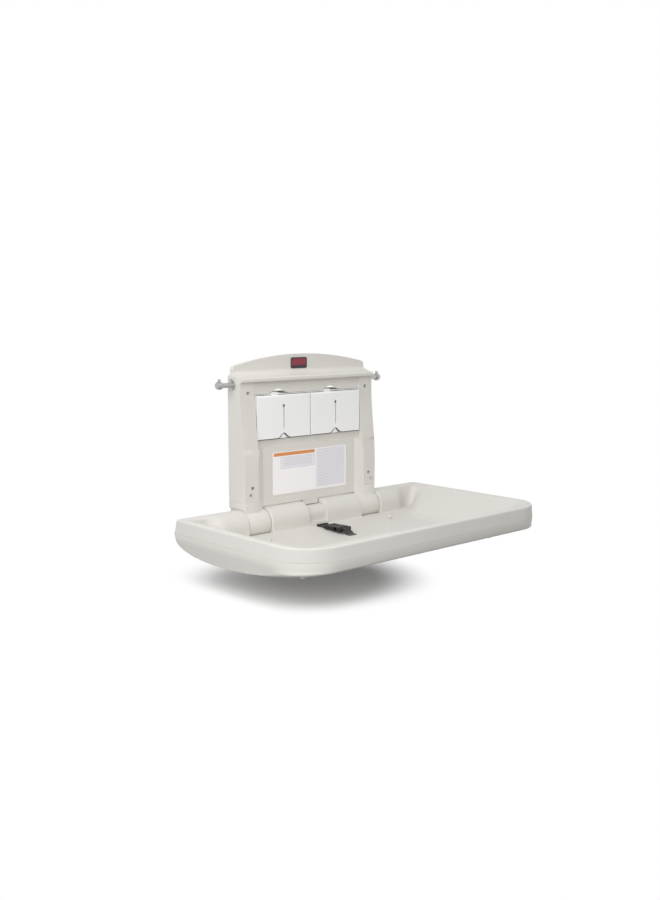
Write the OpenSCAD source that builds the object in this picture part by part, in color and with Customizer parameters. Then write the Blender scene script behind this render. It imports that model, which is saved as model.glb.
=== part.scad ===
// Fold-down changing table for a wall, drawn open.
// X runs along the wall, -Y points away from it and Z is up. The origin is on the wall,
// in the middle of the four wall bolts. Inside at_rim() z = 0 is the top of the bed's rim.

/* [Wall bolts] */
// Distance between the left and right bolts, for studs 16 inches apart
bolt_dx = 406.4; // [404:0.2:409]
// Distance between the lower and upper bolts
bolt_dz = 237.5; // [230:0.5:245]
// Diameter of the bolt holes in the wall brackets
bolt_hole_d = 9; // [7:0.5:10]
// Diameter of the screwdriver holes in the front of the housing
access_d = 10; // [9:0.5:12]
// Thickness of the steel wall brackets
bracket_t = 3; // [2:0.5:4]
// Height of the lower bolts above the bed's rim
bolts_above_rim = 54.25; // [52:0.25:60]

/* [Wall unit] */
// Width of the wall unit at the wall
unit_w = 466; // [462:1:480]
// Height of the arched top above the bed's rim
unit_h = 385; // [380:1:395]
// Rise of the arch from its ends to its middle
arch_rise = 27; // [15:1:30]
// Thickness of the arched header plate
arch_t = 14; // [12:1:18]
// Width of the shoulder beside the arch
shoulder_w = 7; // [4:1:10]
// Depth of the pillars at their foot
pillar_d = 60; // [56:1:61]
// Depth of the pillars under the header
pillar_top_d = 44; // [42:1:50]
// Width of a pillar's front face
pillar_w = 42; // [40:1:44]
// How far each side leans in from the wall to the front
side_lean = 6; // [3:1:8]
// Distance of the label panel from the wall
panel_out = 47; // [46:0.5:49]
// Width of the sloped flank between a pillar and the panel
flank_w = 25; // [20:1:27]
// How far the header's lip stands out from the wall
lip_out = 52; // [50:1:56]
// Height of the lip's lower edge above the bed's rim
lip_h = 319; // [316:1:322]
// Wall thickness of the moulded housing
housing_t = 3; // [2.5:0.5:3.5]

/* [Liner bins] */
// Width of one bin door
door_w = 176; // [170:1:177]
// Height of one bin door
door_h = 111; // [105:1:111]
// Height of the doors' lower edge above the bed's rim
door_up = 173; // [172:1:178]
// Thickness of a door
door_t = 3; // [2.5:0.5:3.5]
// Distance of the doors' front from the wall
door_out = 48; // [47.5:0.5:49]
// Wall thickness of a liner tray
tray_t = 1.5; // [1.2:0.1:1.6]
// Diameter of a door's hinge rod
door_pin_d = 4; // [3:0.5:4.5]

/* [Hinge] */
// Distance of the bed's hinge axis from the wall
hinge_out = 42; // [42:0.5:43]
// Depth of the hinge axis below the bed's rim
hinge_drop = 40; // [39:0.5:40]
// Diameter of the hinge pins
pin_d = 10; // [9:0.5:11]
// Outer radius of the round hinge covers
knuckle_r = 36; // [34:0.5:37]
// Wall thickness of the hinge covers
cover_t = 2.5; // [2:0.5:3]
// Thickness of the steel hinge plates
ear_t = 5; // [4:0.5:6]

/* [Bed] */
// Width of the bed at its seam
bed_w = 845; // [820:1:870]
// Distance of the bed's front from the wall
bed_out = 508; // [490:1:530]
// Distance of the bed's back from the wall
bed_back = 28; // [27:0.5:29]
// Radius of the bed's front corners at its seam
bed_r = 108; // [95:1:115]
// Radius of the bed's back corners
back_r = 10; // [8:1:14]
// Depth of the seam between the two bed shells
seam_drop = 32; // [30:1:36]
// Depth of the lowest point under the bed
belly_drop = 86; // [84:0.5:92]
// Wall thickness of the bed shells
bed_t = 3.5; // [3:0.5:4]
// Width of the rim's flat top
rim_w = 13; // [10:1:16]
// Depth of the basin at its lowest
basin_drop = 70; // [68:0.5:71]
// Length of the slope at each end of the basin
ramp_l = 86; // [75:1:92]

/* [Strap] */
// Width of the webbing
strap_w = 26; // [22:1:28]
// Thickness of the webbing
strap_t = 1.6; // [1.2:0.1:2]
// Width of the buckle
buckle_w = 38; // [36:1:42]

/* [Bag hooks] */
// Diameter of a hook's bar
hook_d = 12; // [10:1:13]
// Length of a hook from the housing's side
hook_l = 48; // [40:1:55]

/* [Clearances] */
// Gap between a hinge cover and the bed
knuckle_gap = 2.5; // [2:0.5:3.5]
// Radial clearance of a turning pin
run_gap = 0.05; // [0.02:0.01:0.09]
// Gap between pieces that lie against each other
fit_gap = 0.4; // [0.3:0.1:0.5]

/* [Hidden] */
$fn = 48;
eps = 0.02;
rim_z = -(bolt_dz / 2 + bolts_above_rim);

// Wall unit
unit_hw = unit_w / 2;
front_hw = unit_hw - side_lean;              // pillar's outer edge at the front
pillar_in = front_hw - pillar_w;             // pillar's inner edge at the front
panel_hw = pillar_in - flank_w;
housing_foot = 20;                           // the hinge covers start here
panel_foot = 2;                              // lower edge of the label panel
blend_low = 95;                              // the pillars lean back from here ...
blend_high = 285;                            // ... to here
lip_t = 12;
cove_h = 15;
shoulder_h = lip_h + lip_t + 7;
arch_hw = unit_hw - shoulder_w;
arch_corner_r = 12;
label_hw = 128;
label_low = 26;
label_high = 136;
badge_x = -11;                               // the badge sits left of the middle
badge_hw = 28;
badge_low = unit_h - 38;
badge_high = unit_h - 9;
pocket_hw = door_w + 6;
pocket_low = door_up - 21;
pocket_high = door_up + door_h + 4;
pocket_back = bracket_t + housing_t;
recess_out = 40;                             // panel above and below the doors
hook_out = 19;
hook_h = lip_h - 6;
upper_bolt_h = bolts_above_rim + bolt_dz;

// Liner bins
door_x0 = 2;                                 // inner edge of a door, from the middle
door_axis_out = door_out - 7;
door_axis_h = door_up + 6;
tray_front = door_out - door_t - 0.5;
tray_x0 = 0.3;
tray_x1 = door_x0 + door_w + 2;
tray_screw_xs = [40, 140];
tray_screw_h = door_up + 60;
bell_hw = 24;
bell_h = 12.5;

// Hinge
ax_y = -hinge_out;
ax_z = -hinge_drop;
notch_r = knuckle_r + knuckle_gap;
knuckle_in = panel_hw;
knuckle_out = front_hw + 1;
notch_in = knuckle_in - knuckle_gap;
notch_out = knuckle_out + knuckle_gap;
ear_in = knuckle_in + 5;
ear_out = knuckle_out - 5;
ear_r = 18;
bush_r = pin_d / 2 + 2;
flange_t = 1.5;
cam_hw = 14;
cam_mid = (ear_in + ear_out) / 2;
cam_reach = 28;
cam_half = 8;
arm_gap = 0.5;
arm_t = 4;
pin_in = notch_in - bed_t - arm_gap - arm_t - 3.5;
pin_out = notch_out + bed_t + arm_gap + arm_t + 3.5;
ring_t = 1.2;

// Bed
bed_hw = bed_w / 2;
hump_r = knuckle_r + 4;                      // back wall of the basin, round about the hinge
hump_hw = 325;
channel_r = 27;                              // groove for the panel's tongue
channel_hw = 31;
edge_drop = 50;
belly_mid = 0.457 * bed_out;
foot_drop = basin_drop - 13;
basin_hw = bed_hw - 14.5 - rim_w;
// slices of the upper shell's outside: height, inset from the seam outline
rim_slices = [[-seam_drop, 0], [-10, 5], [-3, 9.5], [0, 15.5]];
belly_steps = [0, 0.2, 0.45, 0.65, 0.85, 0.97];
dish_steps = [0, 0.4, 0.6, 0.8, 1];

function smooth(t) = let (c = min(1, max(0, t))) c * c * (3 - 2 * c);
function arc(cx, cy, r, a0, a1, n = 6) =
    [for (i = [0:n]) let (a = a0 + (a1 - a0) * i / n) [cx + r * cos(a), cy + r * sin(a)]];
function flip(p) = [for (i = [len(p) - 1:-1:0]) [-p[i][0], p[i][1]]];

// Front of a pillar at height h
function pillar_out(h) =
    pillar_top_d + (pillar_d - pillar_top_d) * smooth((blend_high - h) / (blend_high - blend_low));

// Underside of the bed: a flat bow, steeper at the back than at the front
function belly_back(f) = bed_back + 4 + (belly_mid - bed_back - 4) * (1 - pow(1 - f * f, 1 / 3));
function belly_front(f) = bed_out - 3 - (bed_out - 3 - belly_mid) * (1 - sqrt(1 - pow(f, 1.54)));
function belly_z(f) = -(edge_drop + (belly_drop - edge_drop) * f);
function belly_r(f) = (bed_r - 2) * pow(1 - f, 1.2) + 20 * f;
function belly_rb(f) = back_r + 20 * f;
function shell_back(f) = belly_back(f) + 1.05 * bed_t;      // inside of the lower shell
function shell_front(f) = belly_front(f) - bed_t * (1.2 - f);
// Heights of the lower shell's outside and inside at a distance from the wall
function under(out) = lookup(out, concat(
    [for (f = belly_steps) [belly_back(f), belly_z(f)]],
    [for (i = [len(belly_steps) - 1:-1:0]) [belly_front(belly_steps[i]), belly_z(belly_steps[i])]]));
function inside(out) = lookup(out, concat(
    [for (f = belly_steps) [shell_back(f), belly_z(f) + bed_t]],
    [for (i = [len(belly_steps) - 1:-1:0]) [shell_front(belly_steps[i]), belly_z(belly_steps[i]) + bed_t]]));
// Side view of the room in the lower shell, c clear of it
function bay(c) = concat([[-bed_back - bed_t - c, 5], [-bed_back - bed_t - c, -seam_drop]],
    [for (f = belly_steps) [-shell_back(f) - c, belly_z(f) + bed_t + c]],
    [for (i = [len(belly_steps) - 1:-1:0]) [-shell_front(belly_steps[i]) + c, belly_z(belly_steps[i]) + bed_t + c]],
    [[5 - bed_out, 5]]);

// Floor of the basin: a shallow dish between the foot of its walls
function dish_back(f) = 66 + 0.234 * bed_out * pow(f, 2.2);
function dish_front(f) = bed_out - 46 - 0.26 * bed_out * pow(f, 1.8);
function dish_hw(f) = basin_hw - 3 - ramp_l - 38 * pow(f, 1.5);
dish_r = 40;
function dish_z(f) = -foot_drop - (basin_drop - foot_drop) * f;
function floor_z(out) = lookup(out, concat(
    [for (f = dish_steps) [dish_back(f), dish_z(f)]],
    [for (i = [len(dish_steps) - 1:-1:0]) [dish_front(dish_steps[i]), dish_z(dish_steps[i])]], [[bed_out - 31, -4]]));
function floor_under(out) = lookup(out, concat(
    [for (f = dish_steps) [dish_back(f) - bed_t, dish_z(f) - bed_t]],
    [for (i = [len(dish_steps) - 1:-1:0]) [dish_front(dish_steps[i]) + bed_t, dish_z(dish_steps[i]) - bed_t]],
    [[bed_out - 31 + bed_t, -4 - bed_t / 2]]));

module at_rim() translate([0, 0, rim_z]) children();
// A flat shape drawn in (y, z), made solid from x0 to x1
module along_x(x0, x1)
    translate([x0, 0, 0]) rotate([90, 0, 90]) linear_extrude(x1 - x0) children();
// A flat shape drawn in (x, z), made solid from y0 to y1
module along_y(y0, y1)
    translate([0, y1, 0]) rotate([90, 0, 0]) linear_extrude(y1 - y0) children();
module block(x, y, z) translate([x[0], y[0], z[0]]) cube([x[1] - x[0], y[1] - y[0], z[1] - z[0]]);
module both() { children(); mirror([1, 0, 0]) children(); }
module side(s) if (s < 0) mirror([1, 0, 0]) children(); else children();
// Round bar along X about the hinge axis
module axle(r, x0, x1) translate([x0, ax_y, ax_z]) rotate([0, 90, 0]) cylinder(r = r, h = x1 - x0);
module rod_x(r, x0, x1, out, h) translate([x0, -out, h]) rotate([0, 90, 0]) cylinder(r = r, h = x1 - x0);
module rod_y(r, x, out0, out1, h) translate([x, -out0, h]) rotate([90, 0, 0]) cylinder(r = r, h = out1 - out0);
module rod_z(r, x, out, z0, z1) translate([x, -out, z0]) cylinder(r = r, h = z1 - z0);
// Rectangle with round corners
module card(x0, x1, z0, z1, r) polygon(concat(arc(x1 - r, z1 - r, r, 0, 90), arc(x0 + r, z1 - r, r, 90, 180),
    arc(x0 + r, z0 + r, r, 180, 270), arc(x1 - r, z0 + r, r, 270, 360)));
// Thin plate with round corners, the slices that hull() joins into the bed's shells:
// r is the radius of its front corners and rb that of its back corners
module slice(z, hw, back, front, r, rb) for (sx = [-1, 1]) {
    translate([sx * (hw - r), r - front, z]) cylinder(r = r, h = eps, $fn = 32);
    translate([sx * (hw - rb), -back - rb, z]) cylinder(r = rb, h = eps, $fn = 32);
}

// ---- wall unit ----

// Side view of the housing, thinner by t
function housing_side(t) = let (low = t > 0 ? -60 : panel_foot, back = t > 0 ? 1 : 0, b = lip_out - 4 - arch_t) concat(
    [[back, low]],
    [for (h = [low:15:lip_h - 6]) [-(pillar_out(h) - t), h]],
    [[-(pillar_out(lip_h) - t), lip_h + t], [-(lip_out - 2 - t), lip_h + t],
     [-(lip_out - t), lip_h + 2 + t], [-(lip_out - t), lip_h + lip_t - 4 - t / 2]],
    [for (i = [0:8]) let (a = 90 * i / 8)
        [-(arch_t - t + (b - t / 2) * (1 - sin(a))), lip_h + lip_t - t + cove_h * (1 - cos(a))]],
    [[-(arch_t - t), unit_h + 5], [back, unit_h + 5]]);
arch_radius = (arch_hw * arch_hw + arch_rise * arch_rise) / (2 * arch_rise);
function arch_z(x) = unit_h - arch_radius + sqrt(arch_radius * arch_radius - x * x);
// Half of the front view, smaller by t
function housing_half(t) = let (x = arch_hw - t - arch_corner_r, z = arch_z(x) - t) concat(
    [[unit_hw - t, -60]],
    arc(unit_hw - t - 4, shoulder_h - t - 4, 4, 0, 90, 4),
    [[arch_hw - t, shoulder_h - t + 1]],
    arc(x, z - arch_corner_r, arch_corner_r, 0, 78, 5),
    [for (i = [1:11]) let (u = x * (1 - i / 12)) [u, arch_z(u) - t]]);
module housing_solid(t) {
    lean = side_lean / pillar_d;
    intersection() {
        along_x(-unit_hw, unit_hw) polygon(housing_side(t));
        along_y(-70, 1) polygon(concat(housing_half(t), flip(housing_half(t))));
        translate([0, 0, -60]) linear_extrude(unit_h + 70)
            polygon([[-unit_hw + t, 1], [unit_hw - t, 1],
                     [unit_hw - t - 70 * lean, -70], [-unit_hw + t + 70 * lean, -70]]);
    }
}
// Sunk area between the pillars, larger by t
module panel_recess(t) {
    translate([0, 0, -40 - t]) linear_extrude(pocket_low + 60)
        polygon([[-pillar_in - t, -80], [-pillar_in - t, -pillar_d], [-panel_hw - t, -panel_out + t],
                 [panel_hw + t, -panel_out + t], [pillar_in + t, -pillar_d], [pillar_in + t, -80]]);
    block([-pocket_hw - t, pocket_hw + t], [-80, -recess_out + t], [pocket_low - t, lip_h]);
}
module tray_pocket(t)
    block([-pocket_hw - t, pocket_hw + t], [-80, -pocket_back + t], [door_up - 3 - t, pocket_high + t]);
// Finger scallop above a door's tab
module scallop() along_y(-70, -pocket_back)
    polygon(concat([[-36, -5]], [for (i = [0:12]) let (x = -36 + 6 * i) [x, 11 * pow(cos(x * 2.5), 2)]],
                   [[36, -5]]));
module housing() color([0.84, 0.82, 0.79]) at_rim() difference() {
    union() {
        difference() {
            housing_solid(0);
            panel_recess(0);
            tray_pocket(0);
            difference() { housing_solid(housing_t); panel_recess(housing_t); tray_pocket(housing_t); }
        }
        // stiffening ribs inside the pillars and behind the panel
        intersection() {
            difference() { housing_solid(housing_t / 2); panel_recess(eps); tray_pocket(eps); }
            union() {
                for (h = [110, 170, 230])
                    both() block([pillar_in - 25, unit_hw], [-80, -bracket_t - 1], [h, h + 2.5]);
                for (x = [-60, 60]) block([x - 1.25, x + 1.25], [-80, -bracket_t - 1], [10, 140]);
            }
        }
        // sleeves that guide a screwdriver to the wall bolts
        for (sx = [-1, 1], h = [bolts_above_rim, upper_bolt_h])
            rod_y(access_d / 2 + 2.5, sx * bolt_dx / 2, bracket_t, pillar_out(h) - 1, h);
        // tongue that dips into the bed's groove
        along_y(-panel_out, -panel_out + 8)
            polygon([[-26, 5], [-26, -8], [-23, -11], [23, -11], [26, -8], [26, 5]]);
    }
    for (sx = [-1, 1], h = [bolts_above_rim, upper_bolt_h])
        rod_y(access_d / 2, sx * bolt_dx / 2, -1, 70, h);
    for (sx = [-1, 1]) {
        translate([sx * (door_x0 + door_w / 2) - 13, 0, pocket_high]) scallop();
        rod_x(hook_d / 2 - 1.8, sx > 0 ? unit_hw - 12 : -unit_hw - 2, sx > 0 ? unit_hw + 2 : -unit_hw + 12,
              hook_out, hook_h);
    }
    for (x = tray_screw_xs) both() rod_y(2.2, x, -1, 20, tray_screw_h);
    // only the panel reaches below the pillars' foot
    both() block([panel_hw, unit_hw + 5], [-80, 5], [-61, housing_foot]);
    both() rod_y(2.2, cover_screw_x, 40, 70, cover_screw_h);
}
module wall_bracket(s) color([0.6, 0.62, 0.64]) at_rim() side(s) difference() {
    block([bolt_dx / 2 - 28, bolt_dx / 2 + 20], [-bracket_t, 0], [-62, upper_bolt_h + 20]);
    for (h = [bolts_above_rim, upper_bolt_h]) rod_y(bolt_hole_d / 2, bolt_dx / 2, -1, 10, h);
}
module wall_bracket_left() wall_bracket(-1);
module wall_bracket_right() wall_bracket(1);

hook_x0 = unit_hw - side_lean * (hook_out - hook_d / 2 - 4) / pillar_d + 0.3;
hook_x1 = hook_x0 + hook_l;
module bag_hook(s) color([0.75, 0.76, 0.78]) at_rim() side(s) {
    r = hook_d / 2;
    rod_x(r + 4, hook_x0, hook_x0 + 3, hook_out, hook_h);
    rod_x(r, hook_x0 + 2, hook_x1 - 10, hook_out, hook_h);
    rod_x(r + 4, hook_x1 - 12, hook_x1 - 3, hook_out, hook_h);
    rod_x(r + 2, hook_x1 - 4, hook_x1, hook_out, hook_h);
    rod_x(r - 2, hook_x0 - 13, hook_x0 + 1, hook_out, hook_h);
    // upturned guards that keep a bag's strap on the bar
    for (x = [hook_x0 + 4, hook_x1 - 9]) block([x, x + 3], [-hook_out - 4, -hook_out + 4],
                                               [hook_h + r - 2, hook_h + r + 10]);
}
module bag_hook_left() bag_hook(-1);
module bag_hook_right() bag_hook(1);
module hook_nuts() color("silver") at_rim() both() difference() {
    nut_x1 = unit_hw - housing_t - side_lean * (hook_out + 8) / pillar_d - 0.2;
    translate([nut_x1 - 6, -hook_out, hook_h]) rotate([0, 90, 0]) cylinder(r = 7.5, h = 6, $fn = 6);
    rod_x(hook_d / 2 - 2 + run_gap, hook_x0 - 20, hook_x0, hook_out, hook_h);
}
module placard() color([0.93, 0.92, 0.93]) at_rim()
    along_y(-panel_out - 0.9, -panel_out - 0.1) card(-label_hw, label_hw, label_low, label_high, 4);
module header_plate() color([0.2, 0.2, 0.22]) at_rim()
    along_y(-arch_t - 1.3, -arch_t - 0.1) card(badge_x - badge_hw, badge_x + badge_hw, badge_low, badge_high, 5);

// ---- liner bins ----

function bell(hw, h) = [for (i = [0:16]) let (x = -hw + 2 * hw * i / 16) [x, h * pow(cos(x / hw * 90), 2)]];
module liner_tray(s) color([0.93, 0.93, 0.92]) at_rim() side(s) difference() {
    low = door_up - 1;
    high = pocket_high - 1;
    back = pocket_back + fit_gap;
    union() {
        difference() {
            block([tray_x0, tray_x1], [-tray_front, -back], [low, high]);
            block([tray_x0 + tray_t, tray_x1 - tray_t], [-tray_front - 1, -back - tray_t],
                  [low + tray_t, high - tray_t]);
            // the door's lower edge meets this floor when it is fully open
            block([tray_x0 + tray_t, tray_x1 - tray_t], [-tray_front - 1, -door_axis_out + 4],
                  [low - 1, low + tray_t + 1]);
        }
        // hinge ear in the middle of the lower edge, wide only where the door's edge doesn't swing
        translate([door_x0 + door_w / 2, 0, low]) {
            along_y(-door_axis_out + 1, -door_axis_out + 7) polygon(bell(bell_hw - 1.5, bell_h - 1));
            along_y(-door_out + 2.5, -door_axis_out + 7) polygon(bell(bell_hw / 2 - 1, bell_h - 1));
        }
    }
    rod_x(door_pin_d / 2 + run_gap, tray_x0 - 1, tray_x1 + 1, door_axis_out, door_axis_h);
    for (x = tray_screw_xs) rod_y(2.1, x, -1, 20, tray_screw_h);
}
module liner_tray_left() liner_tray(-1);
module liner_tray_right() liner_tray(1);
module tray_screws() color("silver") at_rim() both() for (x = tray_screw_xs) {
    rod_y(2, x, bracket_t + 0.2, pocket_back + fit_gap + tray_t + 0.5, tray_screw_h);
    rod_y(4, x, pocket_back + fit_gap + tray_t, pocket_back + fit_gap + tray_t + 2, tray_screw_h);
}
module door_pins() color("silver") at_rim() both()
    rod_x(door_pin_d / 2, tray_x0 + 0.2, tray_x1 - 0.2, door_axis_out, door_axis_h);
module liner_door(dx) color([0.95, 0.95, 0.95]) at_rim() translate([dx, 0, 0]) {
    mid = door_x0 + door_w / 2;
    x1 = door_x0 + door_w;
    top = door_up + door_h;
    back = door_out - door_t;
    difference() {
        union() {
            along_x(door_x0, x1) polygon([[-back, door_up], [-door_out, door_up], [-door_out, top - 5],
                                          [-door_out + 1.5, top], [-back, top]]);
            // pull tab under the scallop
            translate([mid - 30, 0, top - 0.5]) along_y(-door_out + 1.5, -back)
                polygon(concat([[-11, -1]], arc(-7, 4, 4, 180, 90, 4), arc(7, 4, 4, 90, 0, 4), [[11, -1]]));
            // stiffening flange around the inside
            block([door_x0 + 5, x1 - 5], [-back - eps, -back + 9], [top - 6, top - 4]);
            for (x = [door_x0 + 5, x1 - 7]) block([x, x + 2], [-back - eps, -back + 9], [door_up + 18, top - 5]);
            for (x = [[door_x0 + 6, mid - bell_hw - 4], [mid + bell_hw + 4, x1 - 6]]) {
                rod_x(door_pin_d / 2 + 1.8, x[0], x[1], door_axis_out, door_axis_h);
                block(x, [-back - eps, -door_axis_out], [door_axis_h - 2, door_axis_h + 3]);
            }
        }
        // sight slot with a round finger hole
        along_y(-door_out - 1, -back + 1) polygon([[mid - 1.5, door_up + 24], [mid + 1.5, door_up + 24],
                                                   [mid + 1.5, door_up + 82], [mid - 1.5, door_up + 82]]);
        rod_y(4, mid, back - 1, door_out + 1, door_up + 82);
        translate([mid, 0, door_up - eps]) along_y(-door_out - 1, -back + 1) polygon(bell(bell_hw, bell_h));
        rod_x(door_pin_d / 2 + run_gap, door_x0, x1, door_axis_out, door_axis_h);
    }
}
// both doors are the same part
module liner_door_left() liner_door(-door_w - 2 * door_x0);
module liner_door_right() liner_door(0);

// ---- hinge, wall side ----

rivet_hs = [-52, 22];
module hinge_bracket(s) color([0.55, 0.57, 0.6]) at_rim() side(s) difference() {
    union() {
        block([ear_in, ear_out], [-bracket_t - ear_t, -bracket_t], [-60, 34]);
        for (x = [ear_in, ear_out - ear_t]) {
            along_x(x, x + ear_t) polygon([[-bracket_t - 1, 26], [ax_y - 4, ax_z + ear_r - 1],
                                           [ax_y - 4, ax_z - ear_r + 1], [-bracket_t - 1, -58]]);
            axle(ear_r, x, x + ear_t);
        }
        // stop block above the cam
        block([ear_in + 1, ear_out - 1], [-27, -bracket_t - 1], [ax_z + cam_half + 4, ax_z + cam_half + 18]);
    }
    for (x = [ear_in, ear_out - ear_t]) axle(bush_r, x - 1, x + ear_t + 1);
    for (x = [ear_in + 16, ear_out - 16], h = rivet_hs) rod_y(3, x, -1, 12, h);
}
module hinge_bracket_left() hinge_bracket(-1);
module hinge_bracket_right() hinge_bracket(1);
module bracket_rivets() color("silver") at_rim() both()
    for (x = [ear_in + 16, ear_out - 16], h = rivet_hs) {
        rod_y(2.95, x, bracket_t, bracket_t + ear_t + 0.5, h);
        rod_y(5, x, bracket_t + ear_t, bracket_t + ear_t + 2, h);
    }
module hinge_bushes() color([0.72, 0.55, 0.3]) at_rim() both() difference() {
    union() {
        axle(bush_r - 0.02, ear_in, ear_in + ear_t + flange_t);
        axle(bush_r + 3, ear_in + ear_t, ear_in + ear_t + flange_t);
        axle(bush_r - 0.02, ear_out - ear_t - flange_t, ear_out);
        axle(bush_r + 3, ear_out - ear_t - flange_t, ear_out - ear_t);
    }
    axle(pin_d / 2 + run_gap, ear_in - 1, ear_out + 1);
}
module stop_pads() color([0.15, 0.15, 0.16]) at_rim() both()
    block([cam_mid - cam_hw, cam_mid + cam_hw], [-26, -10], [ax_z + cam_half + 0.35, ax_z + cam_half + 4]);
// Hinge cover: a pillar's foot above a barrel round the hinge, smaller by t
module cover_solid(t) {
    top = housing_foot - 0.3 + (t > 0 ? 10 : 0);
    intersection() {
        difference() {
            block([knuckle_in + t, unit_hw], [-pillar_d + t, t > 0 ? 1 : 0], [ax_z, top]);
            panel_recess(t);
        }
        union() {
            lean = side_lean / pillar_d;
            translate([0, 0, 1]) linear_extrude(60) polygon([[0, 1], [unit_hw - t, 1],
                [unit_hw - t - 70 * lean, -70], [0, -70]]);
            block([0, knuckle_out - t], [-pillar_d, 1], [ax_z - 1, 1.5]);
        }
        // the foot ends where it meets the barrel
        along_x(0, unit_hw) polygon([[1, ax_z], [ax_y, ax_z], [ax_y - 18, barrel_meet - t], [ax_y - 18, 60], [1, 60]]);
    }
    along_x(knuckle_in + t, knuckle_out - t) intersection() {
        union() {
            translate([ax_y, ax_z]) circle(r = knuckle_r - t);
            polygon([[1, ax_z + 10], [ax_y, ax_z + 10], [ax_y, ax_z - knuckle_r + t],
                     [1, ax_z - knuckle_r + 8 + t]]);
        }
        translate([-100, -100]) square([t > 0 ? 101 : 100, 200]);
    }
}
barrel_meet = ax_z + sqrt(knuckle_r * knuckle_r - 18 * 18);
cover_screw_x = pillar_in + 26;
cover_screw_h = 38;
module hinge_cover(s) color([0.83, 0.81, 0.78]) at_rim() side(s) difference() {
    union() {
        difference() {
            cover_solid(0);
            cover_solid(cover_t);
        }
        // tab behind the pillar's front for the screw
        block([cover_screw_x - 9, cover_screw_x + 7], [-pillar_d + housing_t + 0.3, -pillar_d + housing_t + 2.8],
              [housing_foot - 8, cover_screw_h + 6]);
        block([cover_screw_x - 9, cover_screw_x + 7], [-pillar_d + 1, -pillar_d + housing_t + 2.8],
              [housing_foot - 8, housing_foot - 2]);
    }
    axle(bush_r + 1, knuckle_in - 1, knuckle_out + 1);
    rod_y(2.1, cover_screw_x, pillar_d - 10, pillar_d + 2, cover_screw_h);
}
module hinge_cover_left() hinge_cover(-1);
module hinge_cover_right() hinge_cover(1);
module cover_screws() color("silver") at_rim() both() {
    rod_y(2, cover_screw_x, pillar_d - 10, pillar_d + 0.5, cover_screw_h);
    rod_y(4, cover_screw_x, pillar_d + 0.05, pillar_d + 1.6, cover_screw_h);
}

// ---- hinge, bed side ----

module hinge_pin(s) color("silver") at_rim() side(s) difference() {
    axle(pin_d / 2, pin_in, pin_out);
    for (x = [pin_in + 1.5, pin_out - 1.5 - ring_t]) difference() {
        axle(pin_d, x, x + ring_t);
        axle(pin_d / 2 - 1, x - 1, x + ring_t + 1);
    }
    translate([cam_mid, ax_y, ax_z]) rotate([90, 0, 0]) cylinder(r = 2.02, h = pin_d * 2, center = true);
}
module hinge_pin_left() hinge_pin(-1);
module hinge_pin_right() hinge_pin(1);
module stop_cam(s) color([0.5, 0.52, 0.55]) at_rim() side(s) difference() {
    union() {
        axle(pin_d / 2 + 5, cam_mid - cam_hw, cam_mid + cam_hw);
        block([cam_mid - cam_hw, cam_mid + cam_hw], [ax_y, ax_y + cam_reach],
              [ax_z - cam_half, ax_z + cam_half]);
    }
    axle(pin_d / 2 + 0.02, cam_mid - cam_hw - 1, cam_mid + cam_hw + 1);
    translate([cam_mid, ax_y, ax_z]) rotate([90, 0, 0]) cylinder(r = 2.02, h = pin_d * 2, center = true);
}
module stop_cam_left() stop_cam(-1);
module stop_cam_right() stop_cam(1);
module cam_dowels() color("silver") at_rim() both()
    translate([cam_mid, ax_y, ax_z]) rotate([90, 0, 0]) cylinder(r = 2, h = pin_d + 9, center = true);
module friction_washers() color([0.35, 0.36, 0.38]) at_rim() both() {
    gap = (ear_out - ear_in) / 2 - ear_t - flange_t - cam_hw;
    washer = (gap - 0.6) / 4;
    for (i = [0:3], x = [ear_in + ear_t + flange_t + 0.2, cam_mid + cam_hw + 0.2]) difference() {
        axle(pin_d / 2 + (i % 2 == 0 ? 4.5 : 3.5), x + i * (washer + 0.05), x + i * (washer + 0.05) + washer);
        axle(pin_d / 2 + run_gap, x - 1, x + 20);
    }
}
module retaining_rings() color("silver") at_rim() both()
    for (x = [pin_in + 1.5, pin_out - 1.5 - ring_t]) difference() {
        axle(pin_d / 2 + 2.2, x + 0.05, x + ring_t - 0.05);
        axle(pin_d / 2 - 0.95, x - 1, x + ring_t + 1);
        block([x - 1, x + 3], [ax_y - 3, ax_y + 3], [ax_z - 12, ax_z]);
    }

// The steel arms pass under the basin, just below its floor
arm_start = 80;
arm_end = 0.59 * bed_out;
brace_out = (dish_back(1) + dish_front(1)) / 2;
brace_hw = 16;
arm_plate = 2.5;
arm_x0 = notch_in - bed_t - arm_gap - arm_t;
arm_x1 = notch_out + bed_t + arm_gap + arm_t;
function arm_top(out) = floor_under(out) - 0.6;
arm_outs = concat([arm_start], [for (f = dish_steps) if (dish_back(f) - bed_t > arm_start) dish_back(f) - bed_t],
                  [arm_end]);
module hinge_arm(s) color([0.5, 0.52, 0.55]) at_rim() side(s) difference() {
    union() {
        intersection() {
            for (x = [arm_x0, arm_x1 - arm_t]) {
                axle(pin_d / 2 + 7, x, x + arm_t);
                along_x(x, x + arm_t) polygon([[ax_y + 5, ax_z - 11], [ax_y, ax_z + 5], [ax_y - 12, ax_z + 5],
                    [-arm_start + 6, arm_top(arm_start - 6)], [-arm_start - 1, arm_top(arm_start)],
                    [-arm_start - 1, arm_top(arm_start) - arm_plate - 0.5], [ax_y, -90]]);
            }
            along_x(0, bed_hw) polygon(bay(0.6));
        }
        along_x(arm_x0, arm_x1) polygon(concat([for (o = arm_outs) [-o, arm_top(o)]],
            [for (i = [len(arm_outs) - 1:-1:0]) [-arm_outs[i], arm_top(arm_outs[i]) - arm_plate]]));
    }
    axle(pin_d / 2 + 0.02, arm_x0 - 1, arm_x1 + 1);
    for (x = brace_xs) rod_z(2.55, x, brace_out, -100, 0);
}
module hinge_arm_left() hinge_arm(-1);
module hinge_arm_right() hinge_arm(1);
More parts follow.
